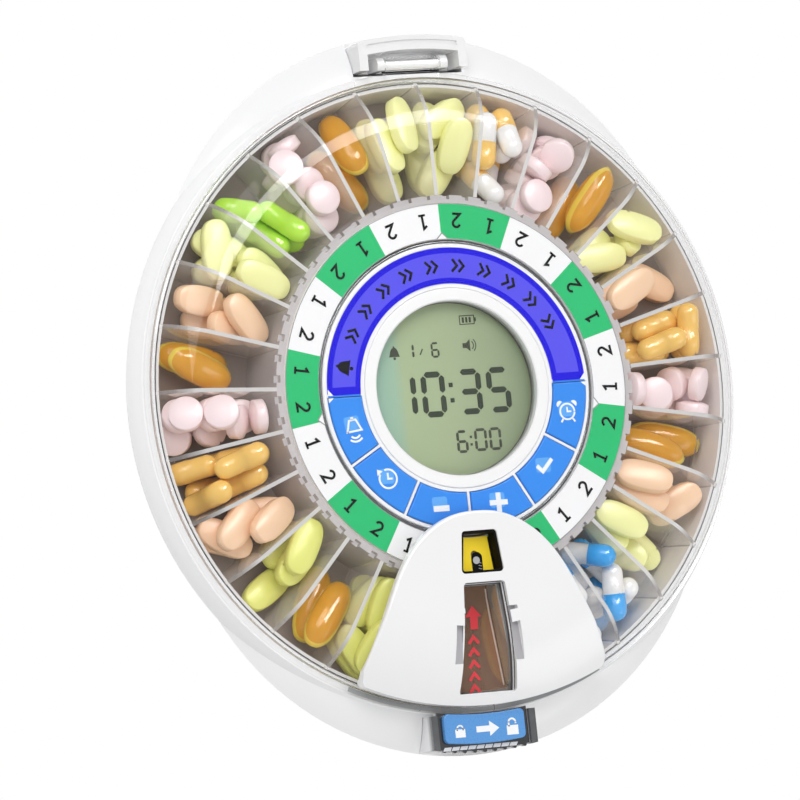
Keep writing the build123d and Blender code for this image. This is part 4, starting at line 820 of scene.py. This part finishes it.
def solid_box(name, low, high, turn=0.0):
    """A box between two corners in compartment mm, turned about Z, at simulation size."""
    verts = [(x, y, z) for x in (low[0], high[0]) for y in (low[1], high[1]) for z in (low[2], high[2])]
    faces = [(0, 1, 3, 2), (4, 6, 7, 5), (0, 4, 5, 1), (2, 3, 7, 6), (0, 2, 6, 4), (1, 5, 7, 3)]
    data = bpy.data.meshes.new(name)
    data.from_pydata(verts, [], faces)
    data.transform(Matrix.Scale(SIM, 4) @ Matrix.Rotation(turn, 4, "Z"))
    box = bpy.data.objects.new(name, data)
    scene.collection.objects.link(box)
    return box


def settle(drops):
    """Lets the pills fall into copies of their compartments and returns where each one comes to rest."""
    movers, statics = [], []
    for number in range(1, SLOTS):
        shift = Vector((0, LANE * number * SIM, 0))
        for name, low, high, turn in (
            ("sim_floor", (45, -SHAFT_HALF, -10), (105, SHAFT_HALF, 0), 0.0),
            ("sim_inner", (45, -SHAFT_HALF, 0), (INNER_WALL, SHAFT_HALF, SHAFT_HEIGHT), 0.0),
            ("sim_outer", (OUTER_WALL, -SHAFT_HALF, 0), (105, SHAFT_HALF, RIM_HEIGHT), 0.0),
            ("sim_left", (40, -HALF_DIVIDER, 0), (110, 10, SHAFT_HEIGHT), half_pitch),
            ("sim_right", (40, -10, 0), (110, HALF_DIVIDER, SHAFT_HEIGHT), -half_pitch),
        ):
            box = solid_box(name, low, high, turn)
            box.location = shift
            statics.append(box)
        block = under_lid_block()
        block.location = shift
        statics.append(block)
    for number, kind, place, turn in drops:
        data = kind_meshes[kind].copy()
        data.transform(Matrix.Scale(SIM, 4))
        mover = bpy.data.objects.new("sim_pill", data)
        scene.collection.objects.link(mover)
        mover.location = (place + Vector((0, LANE * number, 0))) * SIM
        mover.rotation_euler = turn
        movers.append(mover)
    bpy.ops.rigidbody.world_add()
    for group, kind in ((statics, "PASSIVE"), (movers, "ACTIVE")):
        bpy.ops.object.select_all(action="DESELECT")
        for one in group:
            one.select_set(True)
        bpy.context.view_layer.objects.active = group[0]
        bpy.ops.rigidbody.objects_add(type=kind)
        for one in group:
            one.rigid_body.collision_shape = "CONVEX_HULL"
            one.rigid_body.use_margin = True
            one.rigid_body.collision_margin = 0.01
            one.rigid_body.friction = 0.35
            one.rigid_body.restitution = 0.0
            if kind == "ACTIVE":
                one.rigid_body.mass = 1.0
                one.rigid_body.linear_damping = 0.15
                one.rigid_body.angular_damping = 0.35
    world = scene.rigidbody_world
    world.substeps_per_frame = 12
    world.solver_iterations = 20
    world.point_cache.frame_start = 1
    world.point_cache.frame_end = FALL_FRAMES
    for step in range(1, FALL_FRAMES + 1):
        scene.frame_set(step)
    graph = bpy.context.evaluated_depsgraph_get()
    rests = []
    for (number, kind, _, _), mover in zip(drops, movers):
        found = mover.evaluated_get(graph).matrix_world.copy()
        place = found.translation / SIM - Vector((0, LANE * number, 0))
        rests.append((number, kind, place, found.to_quaternion()))
    bpy.ops.rigidbody.world_remove()
    for one in movers + statics:
        data = one.data
        bpy.data.objects.remove(one)
        bpy.data.meshes.remove(data)
    scene.frame_set(1)
    return rests


def lid_clearance(point):
    """How far under the lid a point of the tray is, in mm."""
    past = math.hypot(point.x, point.y) - LID_BEND_START
    if past <= 0.0:
        return LID_CEILING - point.z
    if past >= LID_BEND_R:
        return -1.0
    return LID_CEILING - LID_BEND_R + math.sqrt(LID_BEND_R ** 2 - past ** 2) - point.z


settled = settle(drop_list())
by_slot = {}
for number, kind, place, turn in settled:
    angle = math.radians(START_ANGLE + PITCH * number)
    pose = (Matrix.Rotation(angle, 4, "Z") @ Matrix.Translation(place + Vector((0, 0, TRAY_FLOOR)))
            @ turn.to_matrix().to_4x4())
    corners = [pose @ v.co for v in kind_meshes[kind].vertices]
    too_high = min(lid_clearance(c) for c in corners) < PILL_GAP
    outside = not (INNER_WALL - 1 < place.x < OUTER_WALL + 1 and abs(place.y) < 12.0)
    sunk = min(c.z for c in corners) < TRAY_FLOOR - 0.4
    if too_high or outside or sunk:
        continue
    by_slot.setdefault(number, []).append((kind, pose))
for number, poses in by_slot.items():
    work = bmesh.new()
    for kind, pose in poses:
        data = kind_meshes[kind].copy()
        data.transform(Matrix.Scale(MM, 4) @ pose)
        work.from_mesh(data)
        bpy.data.meshes.remove(data)
    data = bpy.data.meshes.new(f"pills_{number:02d}")
    work.to_mesh(data)
    work.free()
    kind = poses[0][0]
    _, first, second = PILL_KINDS[kind]
    finish_piece(data, f"pills_{number:02d}", [pill_colours[first], pill_colours[second]], "tray")

# ---------------------------------------------------------------- stage, light and camera
floor_mesh = bpy.data.meshes.new("floor")
floor_mesh.from_pydata([(-3, -3, 0), (3, -3, 0), (3, 3, 0), (-3, 3, 0)], [], [(0, 1, 2, 3)])
floor = bpy.data.objects.new("floor", floor_mesh)
scene.collection.objects.link(floor)
# white to the camera, and matte to the light that falls on it
floor_white = bpy.data.materials.new("floor_white")
floor_white.use_nodes = True
tree = floor_white.node_tree
tree.nodes.clear()
matte = new_node(tree, "BsdfDiffuse", {"Color": (0.86, 0.86, 0.86, 1)})
glow = new_node(tree, "Emission", {"Color": (1, 1, 1, 1), "Strength": 1.0})
seen = new_node(tree, "LightPath").outputs["Is Camera Ray"]
mix = new_node(tree, "MixShader", {0: seen, 1: matte.outputs[0], 2: glow.outputs[0]})
new_node(tree, "OutputMaterial", {"Surface": mix.outputs[0]})
floor_mesh.materials.append(floor_white)

world = bpy.data.worlds.new("studio")
scene.world = world
world.use_nodes = True
world.node_tree.nodes["Background"].inputs["Color"].default_value = (1, 1, 1, 1)
world.node_tree.nodes["Background"].inputs["Strength"].default_value = 0.66


AIM = Vector((0, 0, 0.04))


def softbox(name, place, width, height, watts):
    """A rectangular lamp that looks at the dispenser."""
    data = bpy.data.lights.new(name, "AREA")
    data.shape = "RECTANGLE"
    data.size = width
    data.size_y = height
    data.energy = watts
    lamp = bpy.data.objects.new(name, data)
    scene.collection.objects.link(lamp)
    lamp.location = place
    lamp.rotation_euler = (AIM - Vector(place)).to_track_quat("-Z", "Y").to_euler()
    return lamp


softbox("key_light", (-0.5, 0.7, 1.1), 0.8, 0.8, 6.8)
softbox("fill_light", (0.9, -0.6, 0.9), 0.9, 0.6, 2.6)
# the strip only shows as the streak on the lid, and is turned so that its long side lies along it
strip = softbox("strip_light", (0.24, 0.56, 1.02), 0.85, 0.3, 12.0)
strip.visible_diffuse = False
forward = (Vector(strip.location) - AIM).normalized()
streak = Vector((0.54, 0.24, -0.25))
streak = (streak - forward * streak.dot(forward)).normalized()
strip.rotation_euler = Matrix((streak, forward.cross(streak), forward)).transposed().to_euler()

# solved from the photo, by its round tray, its hub circles and the compartments' even pitch
CAMERA_PLACE = (-0.94278, -0.18455, 2.10445)
CAMERA_TURN = (7.2497, -23.5909, -6.4844)
CAMERA_LENS = 337.16
camera_data = bpy.data.cameras.new("camera")
camera_data.sensor_width = 36.0
camera_data.lens = CAMERA_LENS
camera_data.clip_end = 20.0
camera = bpy.data.objects.new("camera", camera_data)
scene.collection.objects.link(camera)
camera.location = CAMERA_PLACE
camera.rotation_euler = [math.radians(a) for a in CAMERA_TURN]
scene.camera = camera
scene.view_settings.view_transform = "Standard"

for data in kind_meshes.values():
    bpy.data.meshes.remove(data)
